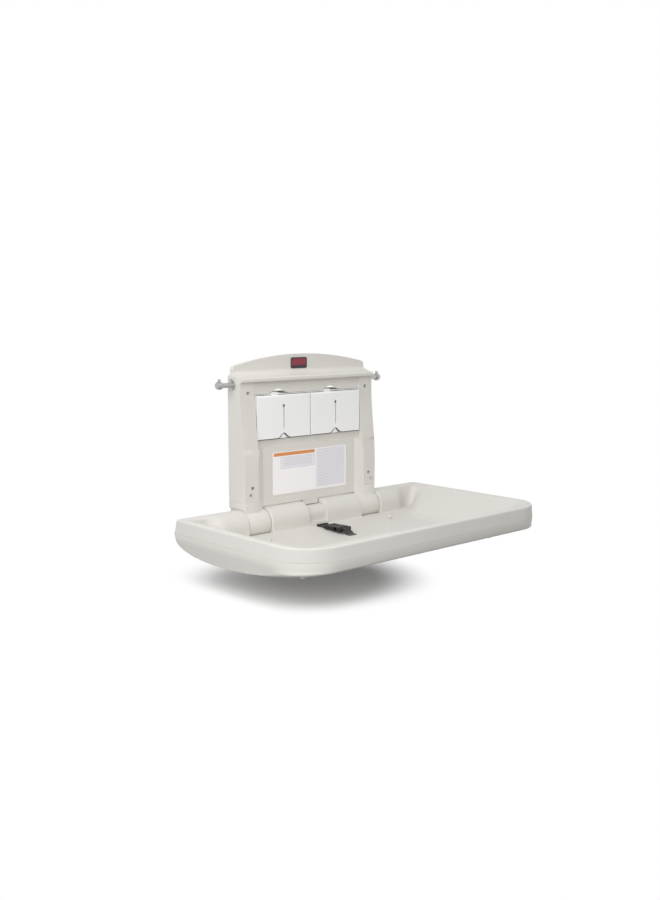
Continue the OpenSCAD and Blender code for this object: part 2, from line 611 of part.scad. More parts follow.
brace_t = 2.5;
brace_xs = [arm_x0 + 15, arm_x1 - 15];
brace_top = arm_top(brace_out) - arm_plate - 0.05;
module cross_brace() color([0.55, 0.57, 0.6]) at_rim() difference() {
    block([-arm_x1 + 2, arm_x1 - 2], [-brace_out - brace_hw, -brace_out + brace_hw], [brace_top - brace_t, brace_top]);
    both() for (x = brace_xs) rod_z(2.55, x, brace_out, -100, 0);
}
module brace_rivets() color("silver") at_rim() both() for (x = brace_xs) {
    rod_z(2.5, x, brace_out, brace_top - brace_t - 0.5, arm_top(brace_out) - 0.05);
    rod_z(4.5, x, brace_out, brace_top - brace_t - 1.5, brace_top - brace_t - 0.05);
}

// ---- bed ----

module rim_hull(t) hull() {
    for (s = rim_slices)
        slice(s[0] - (s[0] < -20 ? 0 : t), bed_hw - s[1] - t, bed_back + 0.45 * s[1] + t,
              bed_out - s[1] - t, bed_r - s[1] * 2.6 - t, back_r - t);
    if (t > 0) slice(-110, bed_hw - t, bed_back + t, bed_out - t, bed_r - t, back_r - t);
}
module basin_hull(t) hull() {
    slice(t > 0 ? -1 : 1, basin_hw + 1 + t, 50 - t, bed_out - 28 + t, 60 + t, 24 + t);
    slice(-4 - t / 2, basin_hw - 3 + t, 54 - t, bed_out - 31 + t, 58 + t, 24 + t);
    for (f = dish_steps)
        slice(dish_z(f) - t, dish_hw(f) + t, dish_back(f) - t, dish_front(f) + t, dish_r + t, dish_r + t);
}
// Thick back wall of the basin, round about the hinge axis, with a gap for each hinge cover
module hump(t) for (x = [[-hump_hw + t, -notch_out - t], [-notch_in + t, notch_in - t], [notch_out + t, hump_hw - t]])
    along_x(x[0], x[1]) difference() {
        union() {
            translate([ax_y, ax_z]) circle(r = hump_r - t);
            translate([ax_y - hump_r + t, -110]) square([hump_r + hinge_out - bed_back - 2 * t - 0.5, 110 + ax_z]);
        }
        translate([-bed_back - t - 0.5, -120]) square([60, 200]);
    }
// Room for a hinge cover in both bed shells
module knuckle_notch() both() along_x(notch_in, notch_out) {
    translate([ax_y, ax_z]) circle(r = notch_r);
    translate([ax_y, -120]) square([60, 140]);
    translate([ax_y - hump_r - 1, ax_z]) square([60, 60]);
}
module tongue_groove(r, hw, extra) along_x(-hw, hw) difference() {
    union() {
        translate([ax_y, ax_z]) circle(r = hump_r + 2 + extra);
        translate([ax_y - hump_r - 2 - extra, -foot_drop - 1]) square([hump_r, foot_drop + 1 - hinge_drop]);
    }
    translate([ax_y, ax_z]) circle(r = r);
    translate([ax_y - r, -120]) square([80, 120 + ax_z]);
    translate([-bed_back - 7, -120]) square([60, 200]);
    translate([-120, -120]) square([160, 120 - foot_drop + 3]);
}
// Posts that the shell's screws go into: x and distance from the wall, under the rim and in the hump
rim_posts = [[bed_hw - 21.5, 130], [bed_hw - 21.5, 290], [bed_hw - 53, bed_out - 68], [200, bed_out - 20]];
hump_posts = [[285, 52], [90, 50]];
posts = concat(rim_posts, hump_posts);
module post(p, top) rod_z(6, p[0], p[1], max(inside(p[1] - 8), inside(p[1] + 8)) + 0.6, top);
module bed_tray() color([0.87, 0.86, 0.84]) at_rim() difference() {
    union() {
        difference() {
            union() {
                difference() { rim_hull(0); rim_hull(bed_t); }
                basin_hull(bed_t);
                both() for (p = rim_posts) post(p, -1);
            }
            difference() { basin_hull(0); hump(0); }
            hump(bed_t + 0.3);
        }
        // cheeks beside the hinge covers and a curved wall under them
        intersection() {
            union() {
                rim_hull(0);
                along_x(-bed_hw, bed_hw) polygon(bay(fit_gap));
            }
            both() {
                for (x = [notch_in - bed_t, notch_out]) along_x(x, x + bed_t) {
                    translate([ax_y, ax_z]) circle(r = hump_r);
                    translate([ax_y - hump_r, -64]) square([hump_r + 13, 30]);
                }
                along_x(notch_in - bed_t, notch_out + bed_t) intersection() {
                    translate([ax_y, ax_z]) circle(r = notch_r + 2.5);
                    translate([ax_y - 60, -100]) square([60, 100 - foot_drop - 4.5]);
                }
            }
        }
        // lining of the tongue's groove
        intersection() { tongue_groove(channel_r - bed_t, channel_hw + bed_t, -bed_t - 1.7); hump(0); }
        both() for (p = hump_posts) post(p, -4.5);
    }
    knuckle_notch();
    tongue_groove(channel_r, channel_hw, 0);
    both() for (p = posts) rod_z(2.05, p[0], p[1], -100, under(p[1]) + 20);
    both() axle(pin_d / 2 + 0.3, notch_in - bed_t - 1, notch_out + bed_t + 1);
    for (out = strap_slots)
        block([-strap_w / 2 - 1.5, strap_w / 2 + 1.5], [-out - 2.5, -out + 2.5], [-85, -50]);
}
module bed_shell() color([0.8, 0.79, 0.76]) at_rim() difference() {
    hull() {
        slice(-seam_drop - eps, bed_hw - 0.8, bed_back + 0.8, bed_out - 0.8, bed_r - 0.8, back_r - 0.8);
        slice(-seam_drop - 1.4, bed_hw, bed_back, bed_out, bed_r, back_r);
        for (f = belly_steps)
            slice(belly_z(f), bed_hw - 1 - 6 * f, belly_back(f), belly_front(f), belly_r(f), belly_rb(f));
    }
    hull() {
        slice(-seam_drop + 1, bed_hw - bed_t, bed_back + bed_t, bed_out - bed_t, bed_r - bed_t, back_r - bed_t);
        for (f = belly_steps)
            slice(belly_z(f) + bed_t, bed_hw - 1 - 6 * f - bed_t, shell_back(f), shell_front(f),
                  belly_r(f) - bed_t, belly_rb(f) - bed_t);
    }
    knuckle_notch();
    both() for (p = posts) rod_z(2.2, p[0], p[1], -100, -40);
}
module shell_screws() color("silver") at_rim() both() for (p = posts) {
    low = min(under(p[1] - 4), under(p[1] + 4));             // the head stays under the shell
    rod_z(2, p[0], p[1], low - 0.5, under(p[1]) + 17);
    rod_z(4, p[0], p[1], low - 2.1, low - 0.1);
}
module floor_bumpers() color([0.7, 0.69, 0.67]) at_rim() both()
    rod_z(5, bolt_dx / 2 + 9, bumper_out, floor_z(bumper_out - 5) + 0.1, hinge_out - hinge_drop - pillar_d - 0.4);

// ---- strap and buckle ----

// the bumpers rest on the pillars when the bed is closed
bumper_out = hinge_out + hinge_drop + bolts_above_rim - 2;

strap_slots = [86, 212];
plug_out = 120;
plug_l = 31;
prong_l = 17;
socket_out = 184;
keeper_out = 91;
buckle_low = floor_z(plug_out - prong_l - 3) + 0.3;          // clear of the floor all the way back
// A strap's side view over the floor from distance a to b, and up over a buckle's bar at the end
module webbing(a, b, up, sense) {
    z = buckle_low;
    low = concat([for (i = [0:8]) let (o = a + (b - a) * i / 8) [-o, floor_z(o) + 0.5]],
                 [[-up + sense * 8, z + 0.4], [-up - sense * 10, z + 0.4], [-up - sense * 10, z + 7.8]]);
    high = concat([for (i = [0:8]) let (o = a + (b - a) * i / 8) [-o, floor_z(o) + 0.5 + strap_t]],
                  [[-up + sense * 8, z + 0.4 + strap_t], [-up - sense * (10 - strap_t), z + 0.4 + strap_t],
                   [-up - sense * (10 - strap_t), z + 7.8]]);
    along_x(-strap_w / 2, strap_w / 2) polygon(concat(low, [for (i = [len(high) - 1:-1:0]) high[i]]));
}
function anchor_top(out) = min(floor_under(out - 7), floor_under(out + 7)) - 0.1;
module strap_end(out) block([-strap_w / 2, strap_w / 2], [-out - strap_t / 2, -out + strap_t / 2],
                            [anchor_top(out) + 0.1, floor_z(out) + 0.5 + strap_t]);
module strap_back() color([0.1, 0.1, 0.1]) at_rim() {
    webbing(strap_slots[0] - strap_t / 2, plug_out - 20, plug_out, 1);
    strap_end(strap_slots[0]);
}
module strap_front() color([0.1, 0.1, 0.1]) at_rim() {
    webbing(strap_slots[1] + strap_t / 2, socket_out + 16, socket_out, -1);
    strap_end(strap_slots[1]);
}
module strap_anchors() color("silver") at_rim() for (out = strap_slots)
    block([-strap_w / 2 - 6, strap_w / 2 + 6], [-out - 7, -out + 7], [anchor_top(out) - 1.8, anchor_top(out)]);
module buckle_plug() color([0.13, 0.13, 0.13]) at_rim() {
    z = buckle_low;
    hw = buckle_w / 2;
    difference() {
        block([-hw, hw], [-plug_out - plug_l, -plug_out], [z, z + 9]);
        block([-hw + 5, hw - 5], [-plug_out - 12, -plug_out - 6.5], [z - 1, z + 20]);
        block([-hw + 5, hw - 5], [-plug_out - 7, -plug_out + 1], [z - 1, z + 3.5]);
    }
    // two springy prongs and a middle guide
    for (sx = [-1, 1])
        block([sx * (hw - 9) - 3, sx * (hw - 9) + 3], [-plug_out - plug_l - prong_l, -plug_out - plug_l + 1],
              [z + 2.5, z + 7]);
    block([-2.5, 2.5], [-plug_out - plug_l - prong_l + 3, -plug_out - plug_l + 1], [z + 2.5, z + 7]);
}
module buckle_socket() color([0.11, 0.11, 0.11]) at_rim() difference() {
    z = buckle_low;
    hw = buckle_w / 2;
    mouth = plug_out + plug_l + 0.5;
    block([-hw, hw], [-socket_out, -mouth], [z - 0.2, z + 10]);
    block([-hw + 5, hw - 5], [-mouth - prong_l - 1, -mouth + 1], [z + 1.8, z + 7.7]);
    both() block([hw - 5.5, hw + 1], [-mouth - prong_l + 1, -mouth - 6], [z + 1.8, z + 7.7]);
    block([-hw + 5, hw - 5], [-socket_out + 5, -socket_out + 11], [z - 1, z + 20]);
    block([-hw + 5, hw - 5], [-socket_out - 1, -socket_out + 5.5], [z - 1, z + 3.5]);
}
// Loop that keeps the loose end flat and slides along the strap
module strap_slide() color([0.12, 0.12, 0.12]) at_rim() difference() {
    z = floor_z(keeper_out);
    block([-strap_w / 2 - 4, strap_w / 2 + 4], [-keeper_out - 9, -keeper_out], [z + 0.3, z + 5.4]);
    block([-strap_w / 2 - 0.7, strap_w / 2 + 0.7], [-keeper_out - 10, -keeper_out + 1], [z - 3, z + 3.4]);
}

wall_bracket_left();
wall_bracket_right();
housing();
bag_hook_left();
bag_hook_right();
hook_nuts();
placard();
header_plate();
liner_tray_left();
liner_tray_right();
tray_screws();
door_pins();
liner_door_left();
liner_door_right();
hinge_bracket_left();
hinge_bracket_right();
bracket_rivets();
hinge_bushes();
stop_pads();
hinge_cover_left();
hinge_cover_right();
cover_screws();
hinge_pin_left();
hinge_pin_right();
stop_cam_left();
stop_cam_right();
cam_dowels();
friction_washers();
retaining_rings();
hinge_arm_left();
hinge_arm_right();
cross_brace();
brace_rivets();
bed_tray();
bed_shell();
shell_screws();
floor_bumpers();
strap_back();
strap_front();
strap_anchors();
buckle_plug();
buckle_socket();
strap_slide();
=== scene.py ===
import math

import bmesh
import bpy
import numpy as np
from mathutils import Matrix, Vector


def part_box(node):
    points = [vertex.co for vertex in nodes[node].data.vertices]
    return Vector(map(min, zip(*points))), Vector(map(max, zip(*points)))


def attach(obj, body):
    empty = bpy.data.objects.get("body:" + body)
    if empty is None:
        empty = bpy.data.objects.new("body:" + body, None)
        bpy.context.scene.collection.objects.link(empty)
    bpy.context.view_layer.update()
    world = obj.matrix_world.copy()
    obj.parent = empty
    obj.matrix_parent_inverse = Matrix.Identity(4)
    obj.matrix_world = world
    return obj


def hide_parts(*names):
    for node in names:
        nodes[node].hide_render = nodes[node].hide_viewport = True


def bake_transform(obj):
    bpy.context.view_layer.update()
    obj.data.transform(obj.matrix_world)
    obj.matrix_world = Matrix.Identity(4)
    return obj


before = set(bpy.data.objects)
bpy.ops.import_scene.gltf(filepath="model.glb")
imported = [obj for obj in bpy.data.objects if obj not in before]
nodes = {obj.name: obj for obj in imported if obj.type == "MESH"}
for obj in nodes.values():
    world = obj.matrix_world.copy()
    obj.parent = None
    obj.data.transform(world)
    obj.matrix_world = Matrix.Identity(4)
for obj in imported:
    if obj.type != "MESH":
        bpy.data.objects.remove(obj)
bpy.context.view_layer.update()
mm = 0.001
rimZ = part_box("bed_tray")[1][2]  # height of the bed's rim in the model
print("frame loaded:", len(nodes), "nodes")


# metres and degrees
cameraView = {"x": -1.7654, "y": -2.0503, "aboveRim": 0.4846, "yaw": 42.5, "pitch": 7.514, "lens": 40.85}
# Metres; a lamp is its place, size and power. The floor lies under the rim by its drop, and the camera sees
# its shadow only out to the two distances from a centre near the bed.
lighting = {
    "world": 0.60, "worldColor": (1.0, 1.0, 1.0),
    "lamps": {"leftLamp": ((-1.9, -0.45, 0.9), 1.2, 10.5), "topLamp": ((-0.9, -1.0, 1.55), 1.2, 11.0),
              "nearLamp": ((-1.15, -1.25, 0.4), 0.8, 5.0)},
    "lampTarget": (0, -0.2),
    "floorHalf": 6.0, "floorDrop": 0.148, "floorTone": 0.30, "floorGlow": 0.09,
    "shadowCentre": (-0.20, -0.23), "shadowNear": 0.18, "shadowFar": 0.35,
}


def aim(obj, target):
    # turns a lamp so that it shines from its place towards the target: the yaw is the angle of the line
    # between them seen from above, and the pitch its angle over the level
    direction = np.array(target) - np.array(obj.location)
    yaw = math.atan2(direction[0], direction[1])
    pitch = math.atan2(direction[2], math.hypot(direction[0], direction[1]))
    obj.rotation_euler = (math.pi / 2 + pitch, 0, -yaw)


def addCamera():
    # placed beside and above the bed's rim, turned by its yaw and tilted down by its pitch
    data = bpy.data.cameras.new("camera")
    data.lens = cameraView["lens"]
    data.sensor_width = 36
    data.clip_end = 50
    camera = bpy.data.objects.new("camera", data)
    camera.location = (cameraView["x"], cameraView["y"], cameraView["aboveRim"] + rimZ)
    camera.rotation_euler = (math.radians(90 - cameraView["pitch"]), 0, -math.radians(cameraView["yaw"]))
    bpy.context.collection.objects.link(camera)
    bpy.context.scene.camera = camera


def addLamp(name, place, size, power):
    # a square area lamp aimed at the bed
    data = bpy.data.lights.new(name, "AREA")
    data.energy = power
    data.size = size
    lamp = bpy.data.objects.new(name, data)
    lamp.location = place
    aim(lamp, (*lighting["lampTarget"], rimZ))
    bpy.context.collection.objects.link(lamp)


def setInputs(node, values):
    # values by the inputs' labels, in which an underline stands for a space
    for label, value in values.items():
        node.inputs[label.replace("_", " ")].default_value = value


def newNode(tree, kind, **values):
    # a shader node of the kind, with the values of its inputs
    node = tree.nodes.new("ShaderNode" + kind)
    setInputs(node, values)
    return node


def linkNodes(tree, *pairs):
    # joins each pair's output socket to its input socket
    for source, target in pairs:
        tree.links.new(source, target)


def addMath(tree, operation, a, b=None, c=None):
    # the operation on up to three values, each a number or another node's output
    node = newNode(tree, "Math")
    node.operation = operation
    for slot, value in enumerate((a, b, c)):
        if value is None:
            continue
        if isinstance(value, (int, float)):
            node.inputs[slot].default_value = value
        else:
            tree.links.new(value, node.inputs[slot])
    return node.outputs[0]


def addNoise(tree, vector, scale, detail=2.0, roughness=0.5):
    # noise over the given place, with a number or another node's output for its scale
    node = newNode(tree, "TexNoise", Detail=detail, Roughness=roughness)
    tree.links.new(vector, node.inputs["Vector"])
    if isinstance(scale, (int, float)):
        node.inputs["Scale"].default_value = scale
    else:
        tree.links.new(scale, node.inputs["Scale"])
    return node.outputs["Fac"]


def objectPlace(tree):
    # the place on the piece, in metres
    return newNode(tree, "TexCoord").outputs["Object"]


def mixShaders(tree, share, first, second):
    # the first shader at a share of 0 and the second at 1
    node = newNode(tree, "MixShader")
    linkNodes(tree, (share, node.inputs[0]), (first.outputs[0], node.inputs[1]),
              (second.outputs[0], node.inputs[2]))
    return node


def addWorld():
    # an even soft light on the object, and plain white where the world itself is seen
    world = bpy.data.worlds.new("studio")
    bpy.context.scene.world = world
    world.use_nodes = True
    tree = world.node_tree
    tree.nodes.clear()
    out = newNode(tree, "OutputWorld")
    soft = newNode(tree, "Background", Color=(*lighting["worldColor"], 1), Strength=lighting["world"])
    white = newNode(tree, "Background", Color=(1, 1, 1, 1), Strength=1)
    ray = newNode(tree, "LightPath").outputs
    seen = addMath(tree, "MAXIMUM", ray["Is Camera Ray"], ray["Is Glossy Ray"])
    seen = addMath(tree, "MAXIMUM", seen, ray["Is Transmission Ray"])
    tree.links.new(mixShaders(tree, seen, soft, white).outputs[0], out.inputs["Surface"])


def addFloor():
    # The camera and reflections see plain white, darkened by the shadow near the bed; other rays see a mid
    # tone. The floor can't be seen from below.
    size = lighting["floorHalf"]
    mesh = bpy.data.meshes.new("studioFloor")
    z = rimZ - lighting["floorDrop"]
    corners = [(-size, -size, z), (size, -size, z), (size, size, z), (-size, size, z)]
    mesh.from_pydata(corners, [], [(0, 1, 2, 3)])
    floor = bpy.data.objects.new("studioFloor", mesh)
    bpy.context.collection.objects.link(floor)
    material = bpy.data.materials.new("studioFloor")
    material.use_nodes = True
    tree = material.node_tree
    tree.nodes.clear()
    out = newNode(tree, "OutputMaterial")
    shaded = newNode(tree, "BsdfDiffuse", Color=(1, 1, 1, 1))
    glow = newNode(tree, "Emission", Strength=lighting["floorGlow"])
    lit = newNode(tree, "AddShader")
    linkNodes(tree, (shaded.outputs[0], lit.inputs[0]), (glow.outputs[0], lit.inputs[1]))
    white = newNode(tree, "Emission")
    other = newNode(tree, "BsdfDiffuse", Color=(*[lighting["floorTone"]] * 3, 1))
    clear = newNode(tree, "BsdfTransparent")
    away = newNode(tree, "VectorMath")
    away.operation = "DISTANCE"
    away.inputs[1].default_value = (*lighting["shadowCentre"], z)
    tree.links.new(objectPlace(tree), away.inputs[0])
    fade = newNode(tree, "MapRange", From_Min=lighting["shadowNear"], From_Max=lighting["shadowFar"])
    fade.interpolation_type = "SMOOTHSTEP"
    tree.links.new(away.outputs["Value"], fade.inputs["Value"])
    ray = newNode(tree, "LightPath").outputs
    direct = addMath(tree, "MAXIMUM", ray["Is Camera Ray"], ray["Is Glossy Ray"])
    bySpot = mixShaders(tree, fade.outputs[0], lit, white)
    byRay = mixShaders(tree, direct, other, bySpot)
    bySide = mixShaders(tree, newNode(tree, "NewGeometry").outputs["Backfacing"], byRay, clear)
    tree.links.new(bySide.outputs[0], out.inputs["Surface"])
    mesh.materials.append(material)


addCamera()
for lampName, (place, size, power) in lighting["lamps"].items():
    addLamp(lampName, place, size, power)
addWorld()
addFloor()
bpy.context.scene.view_settings.view_transform = "Standard"
print("camera and light ready")


def newGroup(name, inputs, outputs):
    # a shader node group; an input is its label, kind and value, and an output its label and kind
    tree = bpy.data.node_groups.new(name, "ShaderNodeTree")
    for label, kind, value in inputs:
        socket = tree.interface.new_socket(label, in_out="INPUT", socket_type=kind)
        if value is not None:
            socket.default_value = value
    for label, kind in outputs:
        tree.interface.new_socket(label, in_out="OUTPUT", socket_type=kind)
    return tree, tree.nodes.new("NodeGroupInput"), tree.nodes.new("NodeGroupOutput")


number = "NodeSocketFloat"
# Scales are in cycles to the metre and depths in metres. A look's "bump" is how much of the depth shows, and
# its "glossSwing" how far the roughness swings.
plasticLook = {"grain": 700.0, "pebble": 0.6, "tone": 7.0, "scuff": 55.0, "spread": 0.03,
               "glossSwing": 0.18, "specular": 0.42, "bump": 0.25, "depth": 0.0002}
metalLook = {"lines": 300.0, "stretch": 0.05, "tone": 30.0, "darkest": 0.9, "glossSwing": 0.25,
             "glossDrop": 0.12, "bump": 0.15, "depth": 0.0001}
# The webbing's "darkest" is how dark the painted shade between its ribs gets.
webbingLook = {"rib": 0.0016, "slant": 0.9, "warp": 0.3, "fuzz": 0.3, "fuzzScale": 2500.0, "darkest": 0.45,
               "roughness": 0.8, "sheen": 0.25, "bump": 0.6, "depth": 0.0004}


def makeMouldedGrain():
    # fine leathery texture of a moulded surface, with a slow change of tone across it
    look = plasticLook
    tree, given, result = newGroup("mouldedGrain", [("Grain Size", number, look["grain"])],
                                   [("Height", number), ("Tone", number), ("Scuff", number)])
    place = objectPlace(tree)
    pebble = newNode(tree, "TexVoronoi")
    pebble.feature = "SMOOTH_F1"
    linkNodes(tree, (place, pebble.inputs["Vector"]), (given.outputs["Grain Size"], pebble.inputs["Scale"]))
    fine = addNoise(tree, place, given.outputs["Grain Size"], detail=3.0, roughness=0.6)
    height = addMath(tree, "MULTIPLY_ADD", pebble.outputs["Distance"], look["pebble"], fine)
    tone = addNoise(tree, place, look["tone"], detail=4.0, roughness=0.6)
    scuff = addNoise(tree, place, look["scuff"], detail=6.0, roughness=0.75)
    linkNodes(tree, (height, result.inputs["Height"]), (tone, result.inputs["Tone"]),
              (scuff, result.inputs["Scuff"]))
    return tree


def makeBrushed():
    # short scratches along X: noise that is stretched that way
    look = metalLook
    tree, given, result = newGroup("brushedLines", [("Line Size", number, look["lines"])],
                                   [("Height", number), ("Tone", number)])
    place = objectPlace(tree)
    stretch = newNode(tree, "Mapping", Scale=(look["stretch"], 1, 1))
    tree.links.new(place, stretch.inputs["Vector"])
    lines = addNoise(tree, stretch.outputs[0], given.outputs["Line Size"], detail=6.0, roughness=0.7)
    tone = addNoise(tree, place, look["tone"], detail=3.0)
    linkNodes(tree, (lines, result.inputs["Height"]), (tone, result.inputs["Tone"]))
    return tree


def makeWeave():
    # Ribs of woven webbing, from the strap's own UV map: U across it and V along it, in metres. A sine across
    # the strap slants the sine along it, and their product, with some fuzz, is the height; without the fuzz
    # it is the tone that paints shade between the ribs.
    look = webbingLook
    tree, given, result = newGroup("webbingWeave", [("Rib", number, look["rib"])],
                                   [("Height", number), ("Tone", number)])
    uv = newNode(tree, "UVMap")
    uv.uv_map = "UVMap"
    split = newNode(tree, "SeparateXYZ")
    tree.links.new(uv.outputs[0], split.inputs[0])
    turn = addMath(tree, "DIVIDE", 2 * math.pi, given.outputs["Rib"])
    across = addMath(tree, "MULTIPLY", split.outputs["X"], turn)
    along = addMath(tree, "MULTIPLY", split.outputs["Y"], turn)
    warp = addMath(tree, "SINE", across)
    shift = addMath(tree, "MULTIPLY", warp, look["slant"])
    slanted = addMath(tree, "SINE", addMath(tree, "ADD", along, shift))
    height = addMath(tree, "MULTIPLY", addMath(tree, "ABSOLUTE", slanted),
                     addMath(tree, "MULTIPLY_ADD", warp, look["warp"], 1 - look["warp"]))
    fuzz = addNoise(tree, objectPlace(tree), look["fuzzScale"])
    linkNodes(tree, (addMath(tree, "MULTIPLY_ADD", fuzz, look["fuzz"], height), result.inputs["Height"]),
              (height, result.inputs["Tone"]))
    return tree


mouldedGrain = makeMouldedGrain()
brushedLines = makeBrushed()
webbingWeave = makeWeave()


def startMaterial(name):
    # a new material with its node tree and its surface shader
    material = bpy.data.materials.new(name)
    material.use_nodes = True
    tree = material.node_tree
    return material, tree, tree.nodes["Principled BSDF"]


def useGroup(tree, group, **values):
    # a node for the group, with the values of its inputs
    node = newNode(tree, "Group")
    node.node_tree = group
    setInputs(node, values)
    return node


def mixColors(tree, share, low, high):
    # a straight run with the share from one colour to the other; low may be another node's output
    mix = newNode(tree, "Mix")
    mix.data_type = "RGBA"
    if isinstance(low, tuple):
        mix.inputs["A"].default_value = (*low, 1)
    else:
        tree.links.new(low, mix.inputs["A"])
    mix.inputs["B"].default_value = (*high, 1)
    tree.links.new(share, mix.inputs["Factor"])
    return mix.outputs["Result"]


def addBump(tree, shader, height, strength, distance):
    # tilts the shader's normal by the slope of the height, whose full rise is the distance in metres
    bump = newNode(tree, "Bump", Strength=strength, Distance=distance)
    linkNodes(tree, (height, bump.inputs["Height"]), (bump.outputs[0], shader.inputs["Normal"]))


def mouldedPlastic(name, color, roughness=0.5, **changes):
    # The colour swings by the spread with the slow change of tone, and the gloss with the fine scuffs.
    look = {**plasticLook, **changes}
    material, tree, shader = startMaterial(name)
    fine = useGroup(tree, mouldedGrain, Grain_Size=look["grain"])
    low = tuple(c * (1 - look["spread"]) for c in color)
    high = tuple(min(1.0, c * (1 + look["spread"])) for c in color)
    tree.links.new(mixColors(tree, fine.outputs["Tone"], low, high), shader.inputs["Base Color"])
    swing = look["glossSwing"]
    gloss = addMath(tree, "MULTIPLY_ADD", fine.outputs["Scuff"], swing, roughness - swing / 2)
    tree.links.new(gloss, shader.inputs["Roughness"])
    shader.inputs["Specular IOR Level"].default_value = look["specular"]
    addBump(tree, shader, fine.outputs["Height"], look["bump"], look["depth"])
    return material


def brushedMetal(name, color, roughness, **changes):
    # darker in patches, and rougher along fine scratches
    look = {**metalLook, **changes}
    material, tree, shader = startMaterial(name)
    fine = useGroup(tree, brushedLines, Line_Size=look["lines"])
    low = tuple(c * look["darkest"] for c in color)
    tree.links.new(mixColors(tree, fine.outputs["Tone"], low, color), shader.inputs["Base Color"])
    gloss = addMath(tree, "MULTIPLY_ADD", fine.outputs["Height"], look["glossSwing"],
                    roughness - look["glossDrop"])
    tree.links.new(gloss, shader.inputs["Roughness"])
    shader.inputs["Metallic"].default_value = 1.0
    addBump(tree, shader, fine.outputs["Height"], look["bump"], look["depth"])
    return material


def wovenWebbing(name, color):
    # painted shade: dark between the ribs and at its full colour on them
    look = webbingLook
    material, tree, shader = startMaterial(name)
    weave = useGroup(tree, webbingWeave, Rib=look["rib"])
    paintedRibShade = tuple(c * look["darkest"] for c in color)
    tree.links.new(mixColors(tree, weave.outputs["Tone"], paintedRibShade, color), shader.inputs["Base Color"])
    shader.inputs["Roughness"].default_value = look["roughness"]
    shader.inputs["Sheen Weight"].default_value = look["sheen"]
    addBump(tree, shader, weave.outputs["Height"], look["bump"], look["depth"])
    return material


def makeFieldMask():
    # 1 inside an upright rectangle given by its middle and half sizes in metres, 0 outside
    tree, given, result = newGroup("fieldMask", [("Middle X", number, 0.0), ("Middle Z", number, 0.0),
                                                 ("Half Width", number, 0.01), ("Half Height", number, 0.01)],
                                   [("Mask", number)])
    split = newNode(tree, "SeparateXYZ")
    tree.links.new(objectPlace(tree), split.inputs[0])
    inside = []
    for axis, middle, half in (("X", "Middle X", "Half Width"), ("Z", "Middle Z", "Half Height")):
        offset = addMath(tree, "SUBTRACT", split.outputs[axis], given.outputs[middle])
        inside.append(addMath(tree, "LESS_THAN", addMath(tree, "ABSOLUTE", offset), given.outputs[half]))
    tree.links.new(addMath(tree, "MULTIPLY", *inside), result.inputs["Mask"])
    return tree


def makeFineRules():
    # thin level lines at an even spacing in metres
    tree, given, result = newGroup("fineRules", [("Spacing", number, 0.004), ("Share", number, 0.3)],
                                   [("Mask", number)])
    split = newNode(tree, "SeparateXYZ")
    tree.links.new(objectPlace(tree), split.inputs[0])
    turns = addMath(tree, "FRACT", addMath(tree, "DIVIDE", split.outputs["Z"], given.outputs["Spacing"]))
    tree.links.new(addMath(tree, "LESS_THAN", turns, given.outputs["Share"]), result.inputs["Mask"])
    return tree


fieldMask = makeFieldMask()
fineRules = makeFineRules()


def printedCard(name, base, fields, roughness=0.35):
    # A plain card with flat coloured fields and no words. Each field is its middle X, middle Z, half width
    # and half height in metres, its colour, and the spacing of its fine rules, or 0 for a plain field.
    material, tree, shader = startMaterial(name)
    color = base
    for x, z, halfX, halfZ, tint, spacing in fields:
        field = useGroup(tree, fieldMask, Middle_X=x, Middle_Z=z, Half_Width=halfX, Half_Height=halfZ)
        mask = field.outputs["Mask"]
        if spacing:
            mask = addMath(tree, "MULTIPLY", mask, useGroup(tree, fineRules, Spacing=spacing).outputs["Mask"])
        color = mixColors(tree, mask, color, tint)
    tree.links.new(color, shader.inputs["Base Color"])
    shader.inputs["Roughness"].default_value = roughness
    return material


def cardFields(nodeName, parts):
    # From each part's left, right, lower and upper edge, as shares of the card from its lower left corner, to
    # its middle and half sizes in metres. Colour and spacing pass through.
    low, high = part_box(nodeName)
    wide, tall = high[0] - low[0], high[2] - low[2]
    return [(low[0] + wide * (left + right) / 2, low[2] + tall * (lower + upper) / 2,
             wide * (right - left) / 2, tall * (upper - lower) / 2, tint, spacing)
            for left, right, lower, upper, tint, spacing in parts]


labelFields = [
    (0.01, 0.555, 0.905, 0.985, (0.74, 0.29, 0.09), 0),  # orange band
    (0.10, 0.555, 0.60, 0.88, (0.62, 0.60, 0.72), 0),  # thin frame
    (0.104, 0.551, 0.608, 0.872, (0.86, 0.845, 0.86), 0),  # inside of the frame
    (0.14, 0.52, 0.64, 0.85, (0.66, 0.65, 0.78), 0.0046),  # rules in the frame
    (0.575, 0.985, 0.04, 0.985, (0.86, 0.845, 0.885), 0),  # tinted half
    (0.59, 0.97, 0.06, 0.965, (0.66, 0.65, 0.72), 0.0042),  # rules on the tinted half
]
badgeFields = [(0.07, 0.93, 0.30, 0.88, (0.26, 0.02, 0.04), 0)]  # dark red field


